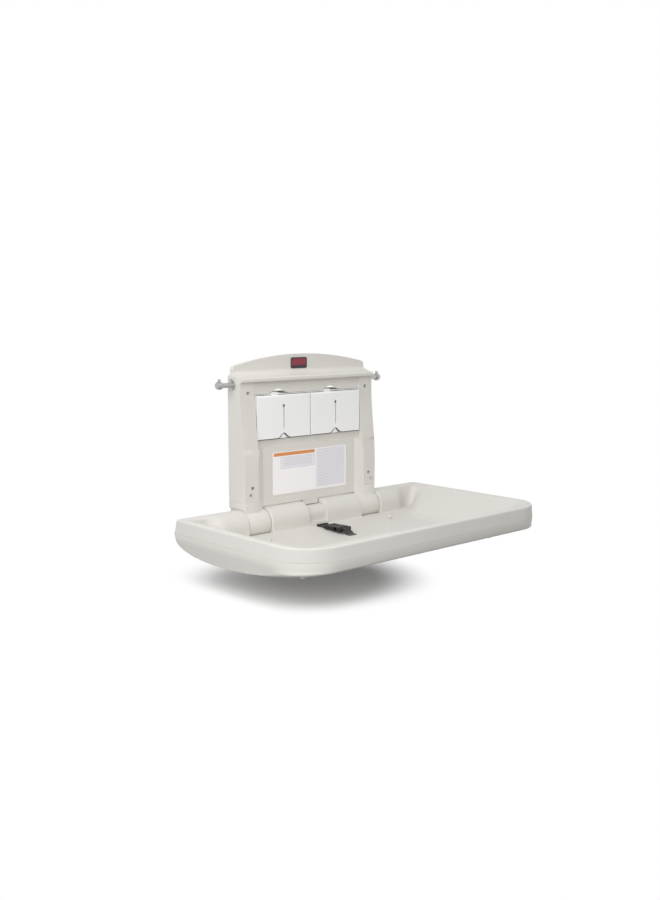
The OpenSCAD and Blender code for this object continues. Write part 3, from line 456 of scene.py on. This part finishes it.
# colours are linear; the number after one is its roughness
finishes = {
    "housing": mouldedPlastic("wallUnitPlastic", (0.735, 0.712, 0.670), 0.5),
    "tray": mouldedPlastic("bedPlastic", (0.70, 0.682, 0.643), 0.46),
    # The shell is the tray's plastic painted lighter, as painted light that offsets the shade on its
    # downward-facing outside.
    "shell": mouldedPlastic("bedShellPlastic", (0.735, 0.712, 0.670), 0.5),
    "bin": mouldedPlastic("binPlastic", (0.95, 0.95, 0.948), 0.38, grain=1200.0, bump=0.08, spread=0.015),
    "black": mouldedPlastic("bucklePlastic", (0.011, 0.011, 0.0105), 0.46, grain=1500.0, bump=0.15,
                            spread=0.1),
    "rubber": mouldedPlastic("padRubber", (0.03, 0.03, 0.03), 0.8, grain=900.0, bump=0.3, spread=0.1),
    "steel": brushedMetal("zincSteel", (0.52, 0.53, 0.54), 0.42),
    "pin": brushedMetal("turnedSteel", (0.62, 0.62, 0.62), 0.25),
    "hook": brushedMetal("hookSteel", (0.50, 0.495, 0.485), 0.38, lines=500.0),
    "bronze": brushedMetal("bushBronze", (0.62, 0.42, 0.20), 0.4),
    "webbing": wovenWebbing("strapWebbing", (0.018, 0.0175, 0.017)),
    "label": printedCard("labelFilm", (0.985, 0.965, 0.975), cardFields("placard", labelFields)),
    "badge": printedCard("badgePlate", (0.03, 0.022, 0.025), cardFields("header_plate", badgeFields), 0.3),
}


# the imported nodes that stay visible
nodeFinish = {
    "steel": ["wall_bracket_left", "wall_bracket_right", "hinge_bracket_left", "hinge_bracket_right",
              "hinge_arm_left", "hinge_arm_right", "cross_brace", "stop_cam_left", "stop_cam_right",
              "friction_washers"],
    "pin": ["hook_nuts", "tray_screws", "door_pins", "cover_screws", "hinge_pin_left", "hinge_pin_right",
            "cam_dowels", "retaining_rings", "brace_rivets", "shell_screws", "strap_anchors"],
    "bronze": ["hinge_bushes"], "rubber": ["stop_pads"], "housing": ["bracket_rivets"], "label": ["placard"],
}
for finish, names in nodeFinish.items():
    for nodeName in names:
        mesh = nodes[nodeName].data
        mesh.materials.clear()
        mesh.materials.append(finishes[finish])
print("finishes ready")


# Sizes in millimetres. Heights are over the rim's top, depths under it, and "out" is the distance from the
# wall.
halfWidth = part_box("bed_tray")[1][0] / mm
bedBack = -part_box("bed_tray")[1][1] / mm
bedFront = -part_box("bed_tray")[0][1] / mm
hinge = {"out": 42.0, "height": -40.0}
rimShape = {"seam": -32.0, "frontRadius": 108.0, "backRadius": 10.0, "flatInset": 10.0, "shoulderInset": 5.2,
            "shoulderDrop": 4.0, "shoulderBulge": 0.8, "backLean": 0.45, "cornerLean": 2.4,
            "lip": ((6.0, 0.0), (0.7, 0.0), (0.1, 0.6))}  # the seam's insets and rises
# "edge" is where the rim's roll starts, "slope" where the walls start, "foot" where they meet the floor and
# "deep" the deepest part of the floor. "corner" is the end's half width at its back corner. The radii are
# those of the corners at the edge, slope, foot and deep part.
basinShape = {"edgeDrop": 5.0, "edgeHalf": 402.0, "rollHalf": 396.5, "slopeHalf": 392.0, "footHalf": 306.0,
              "deepHalf": 268.0, "cornerHalf": 362.0, "frontStart": 15.0, "frontEdge": 36.0,
              "frontFoot": 44.0, "backEdge": 46.0, "backSlope": 54.0, "backFoot": 66.0, "footDepth": 57.0,
              "depth": 70.0, "deepBack": 185.0, "deepFront": 330.0,
              "rollPower": 1.7, "endPower": 1.5, "frontPower": 1.8, "dishPower": 2.2,
              "frontRadii": (64.0, 60.0, 46.0, 60.0), "backRadii": (18.0, 22.0, 12.0, 42.0),
              "frontBow": 12.0, "bowHalf": 230.0, "bowFade": 90.0, "bowRingsIn": 8, "bowRingsOut": 9}
# The hump's cove is given by its distances in front of the foot and heights over the floor.
humpShape = {"radius": 40.0, "foot": 82.6, "lean": 0.3, "skirt": -52.0, "landing": 4.0,
             "cove": ((0.0, 3.2), (0.9, 1.2), (3.0, 0.0)), "fullHalf": 300.0, "endHalf": 350.0,
             "edgeRound": 2.4, "edgeFade": 12.0}
notchShape = {"inner": 157.5, "outer": 230.5, "radius": 38.5, "landing": 77.0}
channelShape = {"half": 31.0, "radius": 27.0, "wall": 35.0, "top": -0.2, "step": -54.0, "stepRound": 1.5,
                "stepEnd": 1.6}
# The lower shell between two depths: the inset of its front and the radius of its front corners are given at
# shares of the way down. Its lip under the seam has drops and insets, and the clamp keeps it in front of the
# hinge covers.
bellyShape = {"edge": 50.0, "deep": 86.0, "middle": 0.457 * bedFront, "clampOut": 63.0, "clampHeight": -72.3,
              "backInset": 4.0, "frontInset": 3.0, "sideInset": 1.0, "sideLean": 6.0, "backRound": 20.0,
              "lip": ((0.1, 7.0), (0.1, 0.9), (0.7, 0.2), (1.4, 0.0)), "crown": 0.8, "backPower": 1 / 3,
              "frontShares": (0, 0.06, 0.12, 0.18, 0.24, 0.29, 0.36, 0.46, 0.58, 0.71, 0.84, 0.94, 1),
              "frontInsets": (0, 0.4, 1.2, 3.2, 8, 15, 27, 50, 80, 118, 168, 222, 273),
              "cornerRadii": (106, 104, 101, 97, 90, 84, 75, 62, 50, 40, 31, 25, 20)}
# Low bosses that the shell's screws bear on: each screw's distance from the middle plane, distance from the
# wall and seat under the rim, then the boss's radius at its face and at its foot.
bossShape = {"screws": ((90, 50, 69.1), (285, 52, 69.9), (401, 130, 83.4), (401, 290, 85), (369, 440, 71)),
             "faceRadius": 7.5, "footRadius": 10.0, "sunk": 4.0, "corners": 32}
footOut = humpShape["foot"] + humpShape["cove"][-1][0]  # where the floor starts in front of the hump
# The bed's grid: columns close together beside each upright edge, in which a pair is twice "pairGap" apart,
# and spans of evenly spaced ones, each its first place, last place and number; then the points on a ring's
# corners, ends and front, the rings of each stretch, and in metres how near points are merged and how thin
# faces are dropped.
gridShape = {"pairGap": 0.05, "edgeSteps": (0.25, 0.6, 1.1, 1.7), "edgeLast": 0.1,
             "spans": ((6, 26, 4), (40, 150, 9), (164, 224, 6), (238, humpShape["fullHalf"], 5),
                       (306, humpShape["endHalf"], 8)),
             "backCorner": 8, "frontCorner": 15, "end": 26, "front": 38, "roll": 9, "wall": 26, "floor": 20,
             "belly": ((0, 0.42, 22), (0.45, 0.98, 18)), "merge": 2e-5, "thin": 1e-6}


def smoothStep(t):
    # rises from 0 to 1 as three times the square less twice the cube, level at both ends
    t = np.clip(t, 0.0, 1.0)
    return t * t * (3 - 2 * t)


def between(pair, share):
    # a straight run from the first value of a pair to the second
    return pair[0] + (pair[1] - pair[0]) * share


def alongPath(points, count):
    # points evenly spaced by length along a line of given corners
    points = np.asarray(points, float)
    steps = np.concatenate([[0], np.cumsum(np.linalg.norm(np.diff(points, axis=0), axis=1))])
    wanted = np.linspace(0, steps[-1], count)
    return np.stack([np.interp(wanted, steps, points[:, k]) for k in range(points.shape[1])], axis=1)


def arcPoints(centre, radius, fromAngle, toAngle, count):
    # points on a circle; angles in degrees, 0 points away from the wall and 90 points up
    angle = np.radians(np.linspace(fromAngle, toAngle, count))
    return np.stack([centre[0] + radius * np.cos(angle), centre[1] + radius * np.sin(angle)], axis=1)


humpEdges = (channelShape["half"], notchShape["inner"], notchShape["outer"])


def backColumns():
    # places along the back where the grid has a column: close together at every edge, coarser between them
    g = gridShape
    near = np.array([g["pairGap"], *g["edgeSteps"], humpShape["edgeRound"] + g["edgeLast"]])
    places = [np.zeros(1)]
    places += [edge + step for edge in humpEdges for step in (-near, near)]
    places += [np.linspace(first, last, count) for first, last, count in g["spans"]]
    places = np.sort(np.concatenate(places))
    return np.concatenate([-places[:0:-1], places])


backX = backColumns()


def ringPoints(half, cornerHalf, back, front, frontRadius, backRadius, flare):
    # One closed ring of columns: the back from left to right, the right end, the front from right to left and
    # the left end. An end runs from its back corner to its front corner; flare says how fast the outward
    # curve near the back corner dies out along it.
    g = gridShape
    reach = cornerHalf - backRadius
    scale = min(1.0, reach / humpShape["endHalf"])
    backLine = np.stack([backX * scale, np.full(len(backX), back)], axis=1)
    corner = arcPoints((reach, back + backRadius), backRadius, -90, 0, g["backCorner"])
    ends = np.array([[humpShape["endHalf"] * scale + (reach - humpShape["endHalf"] * scale) * 0.5, back]])
    share = np.linspace(0, 1, g["end"])[1:-1]
    endOut = back + backRadius + (front - frontRadius - back - backRadius) * share
    bend = (1 - np.clip(share / flare, 0, 1)) ** 2
    end = np.stack([half + (cornerHalf - half) * bend, endOut], axis=1)
    middle = (half - frontRadius, front - frontRadius)
    frontCorner = arcPoints(middle, frontRadius, 0, 90, g["frontCorner"])
    right = np.concatenate([ends, corner, end, frontCorner])
    frontX = np.linspace(half - frontRadius, -(half - frontRadius), g["front"])[1:-1]
    frontLine = np.stack([frontX, np.full(len(frontX), front)], axis=1)
    left = right[::-1] * [-1, 1]
    return np.concatenate([backLine, right, frontLine, left])


def skirtRings():
    # Outside of the rim from the seam up to the flat: a straight flank and a shoulder rounded by a Bezier
    # curve. Each row is how far it lies inside the widest outline, and its height.
    r = rimShape
    rows = [(inset, r["seam"] + rise) for inset, rise in r["lip"]]
    share = np.linspace(0.06, 1, 7)
    rows += list(zip(r["shoulderInset"] * share, r["seam"] + (-r["seam"] - r["shoulderDrop"]) * share))
    t = np.linspace(0, 1, 11)[1:]
    a, b, c = r["shoulderInset"], r["shoulderInset"] + r["shoulderBulge"], r["flatInset"]
    inset = a * (1 - t) ** 2 + 2 * b * t * (1 - t) + c * t * t
    rows += list(zip(inset, -r["shoulderDrop"] * (1 - t) ** 2))
    return [(z, halfWidth - i, halfWidth - i, bedBack + r["backLean"] * i, bedFront - i,
             r["frontRadius"] - r["cornerLean"] * i, r["backRadius"]) for i, z in rows]


def wallRings():
    # inside of the rim: a gentle roll, then the end slopes and the front and back walls down to their foot
    b = basinShape
    frontRadii, backRadii = b["frontRadii"], b["backRadii"]
    rows = []
    for t in np.linspace(0, 1, gridShape["roll"]):
        z = -b["edgeDrop"] * t ** b["rollPower"]
        half = b["edgeHalf"] * (1 - t) ** 2 + 2 * b["rollHalf"] * t * (1 - t) + b["slopeHalf"] * t * t
        front = bedFront - between((b["frontStart"], b["frontEdge"]), t)
        rows.append((z, half, half, between((b["backEdge"], b["backSlope"]), t), front,
                     between(frontRadii[0:2], t), between(backRadii[0:2], t)))
    for t in np.linspace(0, 1, gridShape["wall"])[1:]:
        z = -between((b["edgeDrop"], b["footDepth"]), t)
        half = between((b["slopeHalf"], b["footHalf"]), t)
        cornerHalf = between((b["slopeHalf"], b["cornerHalf"]), t)
        front = bedFront - b["frontFoot"] + (b["frontFoot"] - b["frontEdge"]) * (1 - t) ** 2
        rows.append((z, half, cornerHalf, between((b["backSlope"], b["backFoot"]), t), front,
                     between(frontRadii[1:3], t), between(backRadii[1:3], t)))
    return rows


def floorDepth(out):
    # Height of the floor at a distance from the wall: it falls from the back wall's foot to the deepest part
    # with a root of the share of the way between them.
    b = basinShape
    share = np.clip((out - b["backFoot"]) / (b["deepBack"] - b["backFoot"]), 0, 1)
    return -b["footDepth"] - (b["depth"] - b["footDepth"]) * share ** (1 / b["dishPower"])


def floorRings():
    # the shallow dish: its depth grows fast at first, so that the floor leaves its walls in a soft curve
    b = basinShape
    rows = []
    for f in np.linspace(0, 1, gridShape["floor"])[1:]:
        half = between((b["footHalf"], b["deepHalf"]), f ** b["endPower"])
        cornerHalf = half + (b["cornerHalf"] - b["footHalf"]) * (1 - f) ** 3
        rows.append((-between((b["footDepth"], b["depth"]), f), half, cornerHalf,
                     between((b["backFoot"], b["deepBack"]), f ** b["dishPower"]),
                     between((bedFront - b["frontFoot"], b["deepFront"]), f ** b["frontPower"]),
                     between(b["frontRadii"][2:4], f), between(b["backRadii"][2:4], f)))
    return rows


hingeCentre = (hinge["out"], hinge["height"])
footPoint = [footOut, float(floorDepth(footOut))]


def humpPath(count, drop):
    # Back wall of the basin: over the round about the hinge axis and down to the floor. A drop makes the
    # round smaller, beside a notch.
    h = humpShape
    foot = h["foot"] - drop
    floor = float(floorDepth(foot + h["landing"]))
    points = np.concatenate([arcPoints(hingeCentre, h["radius"] - drop, 90, 0, 22),
                             [[foot - h["lean"], h["skirt"]]], np.array(h["cove"]) + [foot, floor]])
    return alongPath(points, count)


def notchPath(count):
    # room for a hinge cover: up round the cover from below and onto the floor
    rise = float(floorDepth(notchShape["landing"])) - hinge["height"]
    low = math.degrees(math.asin(rise / notchShape["radius"]))
    points = np.concatenate([arcPoints(hingeCentre, notchShape["radius"], -90, low, 16), [footPoint]])
    return alongPath(points, count)


def channelPath(count):
    # groove for the panel's tongue: down the inside of the rim, round the hinge axis and down a step
    c = channelShape
    front = hinge["out"] + c["radius"]
    top = math.degrees(math.acos((c["wall"] - hinge["out"]) / c["radius"]))
    points = np.concatenate([[[c["wall"], c["top"]]], arcPoints(hingeCentre, c["radius"], top, 0, 16),
                             [[front, c["step"] + c["stepRound"]], [front + c["stepRound"], c["step"]],
                              [humpShape["foot"] + c["stepEnd"], c["step"]], footPoint]])
    return alongPath(points, count)


def edgeDrop(distance, radius):
    # how far a rounded edge lies under the face beside it, at a distance from the edge
    d = np.clip(radius - distance, 0, radius)
    return radius - math.sqrt(radius * radius - d * d)


def gridMesh(name, rows):
    # Rows is an array of rings x columns x (x, out, height) in millimetres. Each point is joined to the next
    # in its ring and to the same two in the next ring; points that fall together are merged.
    ringCount, columnCount = rows.shape[:2]
    points = rows.reshape(-1, 3)
    place = np.stack([points[:, 0], -points[:, 1], points[:, 2]], axis=1) * mm + [0, 0, rimZ]
    a = np.arange(ringCount * columnCount).reshape(ringCount, columnCount)
    b = np.roll(a, -1, axis=1)
    quads = np.stack([a[:-1], b[:-1], b[1:], a[1:]], axis=-1).reshape(-1, 4)
    mesh = bpy.data.meshes.new(name)
    mesh.from_pydata(place.tolist(), [], quads.tolist())
    work = bmesh.new()
    work.from_mesh(mesh)
    bmesh.ops.remove_doubles(work, verts=work.verts, dist=gridShape["merge"])
    bmesh.ops.dissolve_degenerate(work, edges=work.edges, dist=gridShape["thin"])
    work.to_mesh(mesh)
    work.free()
    return mesh


def shadeSmooth(mesh, degrees):
    # smooth shading but for edges sharper than the given angle
    mesh.polygons.foreach_set("use_smooth", [True] * len(mesh.polygons))
    mesh.set_sharp_from_angle(angle=math.radians(degrees))


def addPiece(name, mesh, body, finish, replaced):
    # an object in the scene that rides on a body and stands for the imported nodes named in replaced
    piece = bpy.data.objects.new(name, mesh)
    bpy.context.collection.objects.link(piece)
    mesh.materials.clear()
    mesh.materials.append(finishes[finish])
    if body:
        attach(piece, body)
    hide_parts(*replaced)
    return piece


def ringRow(spec):
    # one ring of the grid at its height
    z, *outline = spec
    flat = ringPoints(*outline, flare=0.2)
    return np.column_stack([flat, np.full(len(flat), z)])


def makeTray():
    # Rings from the seam over the rim, down the walls and in over the floor. Along the back, each column then
    # takes the line of the hump, of a notch or of the channel.
    b, h = basinShape, humpShape
    skirt = skirtRings()
    wall = wallRings()
    floor = floorRings()
    rows = np.array([ringRow(spec) for spec in skirt + wall + floor])
    start, foot = len(skirt), len(skirt) + len(wall)
    count = len(wall)
    # the floor near the back starts at the hump's foot
    columns = np.arange(len(backX))
    wide = np.abs(backX)
    weight = smoothStep((h["endHalf"] - wide) / (h["endHalf"] - h["fullHalf"]))
    for ring in range(foot, len(rows)):
        plain = rows[ring, columns, 1]
        share = (plain[0] - b["backFoot"]) / (b["deepBack"] - b["backFoot"])
        out = plain + (between((footOut, b["deepBack"]), share) - plain) * weight
        rows[ring, columns, 1] = out
        rows[ring, columns, 2] = floorDepth(out)
    # the front of the rim is widest beside the arch that it closes over
    ring = np.arange(len(rows))[:, None]
    into = smoothStep((ring - start) / b["bowRingsIn"]) * (1 - smoothStep((ring - foot) / b["bowRingsOut"]))
    beside = smoothStep(np.abs(rows[:, :, 0]) / b["bowHalf"])
    fromFront = smoothStep((rows[:, :, 1] - b["deepFront"]) / b["bowFade"])
    rows[:, :, 1] -= b["frontBow"] * into * beside * fromFront
    notch = notchPath(count)
    channel = channelPath(count)
    for column in columns:
        x = wide[column]
        if notchShape["inner"] < x < notchShape["outer"]:
            rows[:start, column, 1:] = notch[0]
            rows[start:foot, column, 1:] = notch
        elif x < channelShape["half"]:
            rows[start:foot, column, 1:] = channel
            rows[:start, column, 1] = np.minimum(rows[:start, column, 1], channelShape["wall"])
        else:
            distance = min(abs(x - edge) for edge in humpEdges)
            drop = edgeDrop(distance, h["edgeRound"])
            hump = humpPath(count, drop)
            rows[start:foot, column, 1:] += (hump - rows[start:foot, column, 1:]) * weight[column]
            rows[:start, column, 2] -= drop * np.clip(1 + rows[:start, column, 2] / h["edgeFade"], 0, 1)
    # close the middle of the floor
    last = rows[-1]
    centre = np.array([0.0, (b["deepBack"] + b["deepFront"]) / 2, -b["depth"]])
    middle = [last + (centre - last) * share for share in (0.25, 0.5, 0.75, 1.0)]
    mesh = gridMesh("bedTray", np.concatenate([rows, middle]))
    shadeSmooth(mesh, 30)
    return addPiece("bedTray", mesh, "bed", "tray", ["bed_tray"])


def addBosses(mesh):
    # Short cones, each from its face at a screw's seat up into the shell: two rings of points on circles
    # about the screw, left and right of the middle plane.
    b = bossShape
    turn = np.linspace(0, 2 * math.pi, b["corners"], endpoint=False)
    circle = np.stack([np.cos(turn), np.sin(turn)], axis=1)
    places = np.array(b["screws"], float)
    places = np.concatenate([places * [-1, 1, 1], places])
    radius = np.array([b["faceRadius"], b["footRadius"]])[None, :, None, None]
    flat = places[:, None, None, :2] * [1, -1] + circle * radius
    level = np.array([0.0, b["sunk"]]) - places[:, 2:]
    level = np.broadcast_to(level[:, :, None, None], flat.shape[:3] + (1,))
    points = np.concatenate([flat, level], axis=3).reshape(-1, 3) * mm + [0, 0, rimZ]
    face, foot = np.arange(len(points)).reshape(len(places), 2, -1).transpose(1, 0, 2)
    sides = np.stack([face, np.roll(face, -1, axis=1), np.roll(foot, -1, axis=1), foot], axis=-1)
    cones = bpy.data.meshes.new("shellBosses")
    faces = sides.reshape(-1, 4).tolist() + face[:, ::-1].tolist() + foot.tolist()
    cones.from_pydata(points.tolist(), [], faces)
    work = bmesh.new()
    work.from_mesh(mesh)
    work.from_mesh(cones)
    work.to_mesh(mesh)
    work.free()
    bpy.data.meshes.remove(cones)


def makeShell():
    # Belly: rings from the seam down to the flat bottom. With the share of the depth, the back comes in along
    # a round curve, and the front and its corners along a line through given shares.
    s = bellyShape
    seam, backRadius = rimShape["seam"], rimShape["backRadius"]
    specs = [(seam - drop, halfWidth - i, halfWidth - i, bedBack + i, bedFront - i,
              rimShape["frontRadius"] - i, backRadius) for drop, i in s["lip"]]
    for f in np.concatenate([np.linspace(*span) for span in gridShape["belly"]]):
        back = between((bedBack + s["backInset"], s["middle"]), 1 - (1 - f * f) ** s["backPower"])
        front = bedFront - s["frontInset"] - np.interp(f, s["frontShares"], s["frontInsets"])
        half = halfWidth - s["sideInset"] - s["sideLean"] * f
        specs.append((-between((s["edge"], s["deep"]), f), half, half, back, front,
                      np.interp(f, s["frontShares"], s["cornerRadii"]), backRadius + s["backRound"] * f))
    rows = np.array([ringRow(spec) for spec in specs])
    wide = np.abs(backX)
    # in a notch the shell stays in front of the hinge cover
    inNotch = np.where((wide > notchShape["inner"]) & (wide < notchShape["outer"]))[0]
    for column in inNotch:
        early = rows[:, column, 1] < s["clampOut"]
        rows[early, column, 1] = s["clampOut"]
        rows[early, column, 2] = s["clampHeight"]
    last = rows[-1]
    centre = np.array([0.0, s["middle"], last[0, 2] - s["crown"]])
    middle = [last + (centre - last) * share for share in (0.3, 0.65, 1.0)]
    mesh = gridMesh("bedShell", np.concatenate([rows, middle])[::-1])
    addBosses(mesh)
    shadeSmooth(mesh, 30)
    return addPiece("bedShell", mesh, "bed", "shell", ["bed_shell"])


makeTray()
makeShell()
print("bed ready")


# A curved face has at most "largest" square metres. A neighbour's area is within "ratio" times its own either
# way, and turns from it by an angle in radians. The other angles are in degrees.
curvedFace = {"largest": 1500 * mm * mm, "ratio": 3, "leastTurn": 0.01, "mostTurn": 0.58}
rounding = {"merge": 1e-5, "thin": 1e-6, "flatAngle": 0.6, "edgeAngle": 35, "sharpAngle": 38, "segments": 3}
pillarSpan = {"inner": 170, "front": 30, "low": 20, "high": 315}
archSpan = {"low": 331, "front": 5}


def isCurved(face):
    # true for a face that meets one of similar size at a small angle, as on a cylinder or a rounded edge
    c = curvedFace
    area = face.calc_area()
    if area > c["largest"]:
        return False
    for edge in face.edges:
        turn = edge.calc_face_angle(0)
        for other in edge.link_faces:
            ratio = other.calc_area() / max(area, 1e-12)
            alike = other is not face and 1 / c["ratio"] < ratio < c["ratio"]
            if alike and c["leastTurn"] < turn < c["mostTurn"]:
                return True
    return False


def edgePlace(edge):
    # the middle of an edge: its distance from the middle plane, its distance from the wall and its height
    # over the rim, in millimetres
    centre = (edge.verts[0].co + edge.verts[1].co) / 2
    return abs(centre.x) / mm, -centre.y / mm, (centre.z - rimZ) / mm


def roundedCopy(nodeName, pieceName, body, finish, rounds):
    # A copy of the solid with merged faces and rounded edges. Each entry of rounds is a radius in
    # millimetres, the shortest edge that it takes, and a test on an edge's place. Flat faces stay flat,
    # curved ones are smooth.
    source = nodes[nodeName]
    work = bmesh.new()
    work.from_mesh(source.data)
    work.transform(source.matrix_world)
    bmesh.ops.remove_doubles(work, verts=work.verts, dist=rounding["merge"])
    bmesh.ops.dissolve_limit(work, angle_limit=math.radians(rounding["flatAngle"]), verts=work.verts,
                             edges=work.edges, delimit={"NORMAL"})
    for radius, shortest, test in rounds:
        picked = []
        for edge in work.edges:
            if len(edge.link_faces) != 2 or edge.calc_face_angle(0) < math.radians(rounding["edgeAngle"]):
                continue
            if edge.calc_length() >= shortest * mm and test(*edgePlace(edge)):
                picked.append(edge)
        bmesh.ops.bevel(work, geom=picked, offset=radius * mm, segments=rounding["segments"], profile=0.5,
                        affect="EDGES", clamp_overlap=True, miter_outer="ARC")
    bmesh.ops.dissolve_degenerate(work, edges=work.edges, dist=rounding["thin"])
    curved = [isCurved(face) for face in work.faces]
    mesh = bpy.data.meshes.new(pieceName)
    work.to_mesh(mesh)
    work.free()
    mesh.set_sharp_from_angle(angle=math.radians(rounding["sharpAngle"]))
    mesh.polygons.foreach_set("use_smooth", curved)
    return addPiece(pieceName, mesh, body, finish, [nodeName])


def anyEdge(x, out, height):
    # every edge of the piece
    return True


def pillarEdge(x, out, height):
    # long outer edges of the two pillars
    p = pillarSpan
    return p["inner"] < x and out > p["front"] and p["low"] < height < p["high"]


def archEdge(x, out, height):
    # edges of the header in front of the wall
    return height > archSpan["low"] and out > archSpan["front"]


roundedCopy("housing", "housingShell", "wall_unit", "housing",
            [(3.0, 40.0, pillarEdge), (2.2, 1.5, archEdge), (0.8, 1.5, anyEdge)])
for side in ("left", "right"):
    end = side.title()
    roundedCopy("liner_door_" + side, "binDoor" + end, "bin_door_" + side, "bin", [(0.6, 0, anyEdge)])
    roundedCopy("liner_tray_" + side, "binTray" + end, "wall_unit", "bin", [(0.4, 0, anyEdge)])
    roundedCopy("hinge_cover_" + side, "hingeCover" + end, "wall_unit", "housing", [(0.8, 0, anyEdge)])
    roundedCopy("bag_hook_" + side, "bagHook" + end, "wall_unit", "hook", [(0.8, 0, anyEdge)])
roundedCopy("header_plate", "badgePlate", "wall_unit", "badge", [(0.7, 0, anyEdge)])


# The webbing's section, its slots in the basin's floor and the keeper that it goes back through. It comes up
# a slot, turns onto the floor and lies a small gap over it, as its second layer does over the first.
strapShape = {"half": 13.0, "thick": 1.6, "gap": 0.1, "layerGap": 0.02, "under": -84.0, "backSlot": 86.0,
              "frontSlot": 212.0, "slotDip": 0.6, "slotTurn": 2.0, "keeper": 91.0, "looseEnd": 1.5,
              "blendStart": 1.0}
# The buckle's halves by the places of their middles. The webbing goes in under one, up round the far side of
# its bar and back down beside it; these are distances from the half's middle, and heights over its underside.
buckleShape = {"plug": 120.0, "socket": 184.0, "lift": 0.3, "inside": 0.4, "barRise": 7.6, "wayIn": 8.0,
               "bar": 9.4, "plugBar": 6.6, "plugDive": 5.6, "socketBar": 2.5, "wayOut": 5.5,
               "plugLead": 20.0, "socketLead": 16.0, "blendEnd": 6.0}
buckleLow = float(floorDepth(buckleShape["plug"] - buckleShape["plugLead"])) + buckleShape["lift"]


def sweepStrap(name, path, steps):
    # Flat webbing with rounded edges, carried along a line of (out, height) points: its section stands square
    # to the line at each step. The line's corners are eased by three rounds of averaging with their
    # neighbours. U runs across the webbing and V along it.
    corners = alongPath(path, steps)
    for _ in range(3):
        corners[1:-1] = (corners[:-2] + 2 * corners[1:-1] + corners[2:]) / 4
    along = np.gradient(corners, axis=0)
    along /= np.linalg.norm(along, axis=1)[:, None]
    side = np.stack([-along[:, 1], along[:, 0]], axis=1)
    half, thick = strapShape["half"], strapShape["thick"] / 2
    bend = arcPoints((0, 0), 1.0, 90, -90, 5)
    right = np.stack([half - thick + bend[:, 0] * thick, bend[:, 1] * thick], axis=1)
    top = np.stack([np.linspace(-half + thick, half - thick, 9)[1:-1], np.full(7, thick)], axis=1)
    ring = np.concatenate([top, right, top[::-1] * [1, -1], right[::-1] * [-1, 1]])
    out = corners[:, None, 0] + side[:, None, 0] * ring[None, :, 1]
    height = corners[:, None, 1] + side[:, None, 1] * ring[None, :, 1]
    wide = np.broadcast_to(ring[None, :, 0], out.shape)
    points = np.stack([wide, -out, height], axis=-1).reshape(-1, 3) * mm + [0, 0, rimZ]
    count = len(ring)
    a = np.arange(steps * count).reshape(steps, count)
    b = np.roll(a, -1, axis=1)
    quads = np.stack([a[:-1], a[1:], b[1:], b[:-1]], axis=-1).reshape(-1, 4).tolist()
    faces = quads + [a[0].tolist(), a[-1][::-1].tolist()]
    mesh = bpy.data.meshes.new(name)
    mesh.from_pydata(points.tolist(), [], faces)
    length = np.concatenate([[0], np.cumsum(np.linalg.norm(np.diff(corners, axis=0), axis=1))])
    layout = np.stack([wide, np.broadcast_to(length[:, None], wide.shape)], axis=-1).reshape(-1, 2) * mm
    corner = np.empty(len(mesh.loops), dtype=np.int64)
    mesh.loops.foreach_get("vertex_index", corner)
    mesh.uv_layers.new(name="UVMap").data.foreach_set("uv", layout[corner].ravel())
    work = bmesh.new()
    work.from_mesh(mesh)
    bmesh.ops.recalc_face_normals(work, faces=work.faces)
    work.to_mesh(mesh)
    work.free()
    shadeSmooth(mesh, 50)
    return mesh


def overFloor(first, last, lift):
    # points from one distance from the wall to another, each a lift over the basin's floor
    out = np.linspace(first, last, 10)
    return list(zip(out, floorDepth(out) + lift))


def makeStraps():
    # Each half of the strap is swept along its own line: up through a slot in the floor, over the floor,
    # under its half of the buckle, round the bar and back. The wall's half then lies on itself up to the
    # keeper.
    s, b = strapShape, buckleShape
    plug, socket = b["plug"], b["socket"]
    layer = s["thick"] + s["layerGap"]
    lift = s["gap"] + s["thick"] / 2
    low = buckleLow + b["inside"] + s["thick"] / 2
    high = buckleLow + b["barRise"]
    back = [(s["backSlot"], s["under"]),
            (s["backSlot"], float(floorDepth(s["backSlot"])) + lift - s["slotDip"])]
    back += overFloor(s["backSlot"] + s["slotTurn"], plug - b["plugLead"], lift)
    back += [(plug - b["wayIn"], low), (plug + b["bar"], low), (plug + b["bar"], high),
             (plug + b["plugBar"], high), (plug + b["plugDive"], low + layer),
             (plug - b["wayOut"], low + layer)]
    back += overFloor(plug - b["plugLead"], s["keeper"] - s["looseEnd"], lift + layer)
    front = [(s["frontSlot"], s["under"]),
             (s["frontSlot"], float(floorDepth(s["frontSlot"])) + lift - s["slotDip"])]
    front += overFloor(s["frontSlot"] - s["slotTurn"], socket + b["socketLead"], lift)
    front += [(socket + b["wayIn"], low), (socket - b["bar"], low), (socket - b["bar"], high),
              (socket + b["socketBar"], high), (socket + b["wayOut"], low + layer)]
    backPiece = addPiece("strapBack", sweepStrap("strapBack", back, 120), None, "webbing", ["strap_back"])
    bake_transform(backPiece)
    addPiece("strapFront", sweepStrap("strapFront", front, 90), "bed", "webbing", ["strap_front"])


makeStraps()
roundedCopy("buckle_plug", "bucklePlug", "plug", "black", [(1.1, 0, anyEdge)])
roundedCopy("buckle_socket", "buckleSocket", "bed", "black", [(1.6, 5, anyEdge)])
roundedCopy("strap_slide", "strapSlide", "slide", "black", [(0.9, 0, anyEdge)])
roundedCopy("floor_bumpers", "floorBumpers", "bed", "tray", [(0.8, 0, anyEdge)])
print("strap ready")
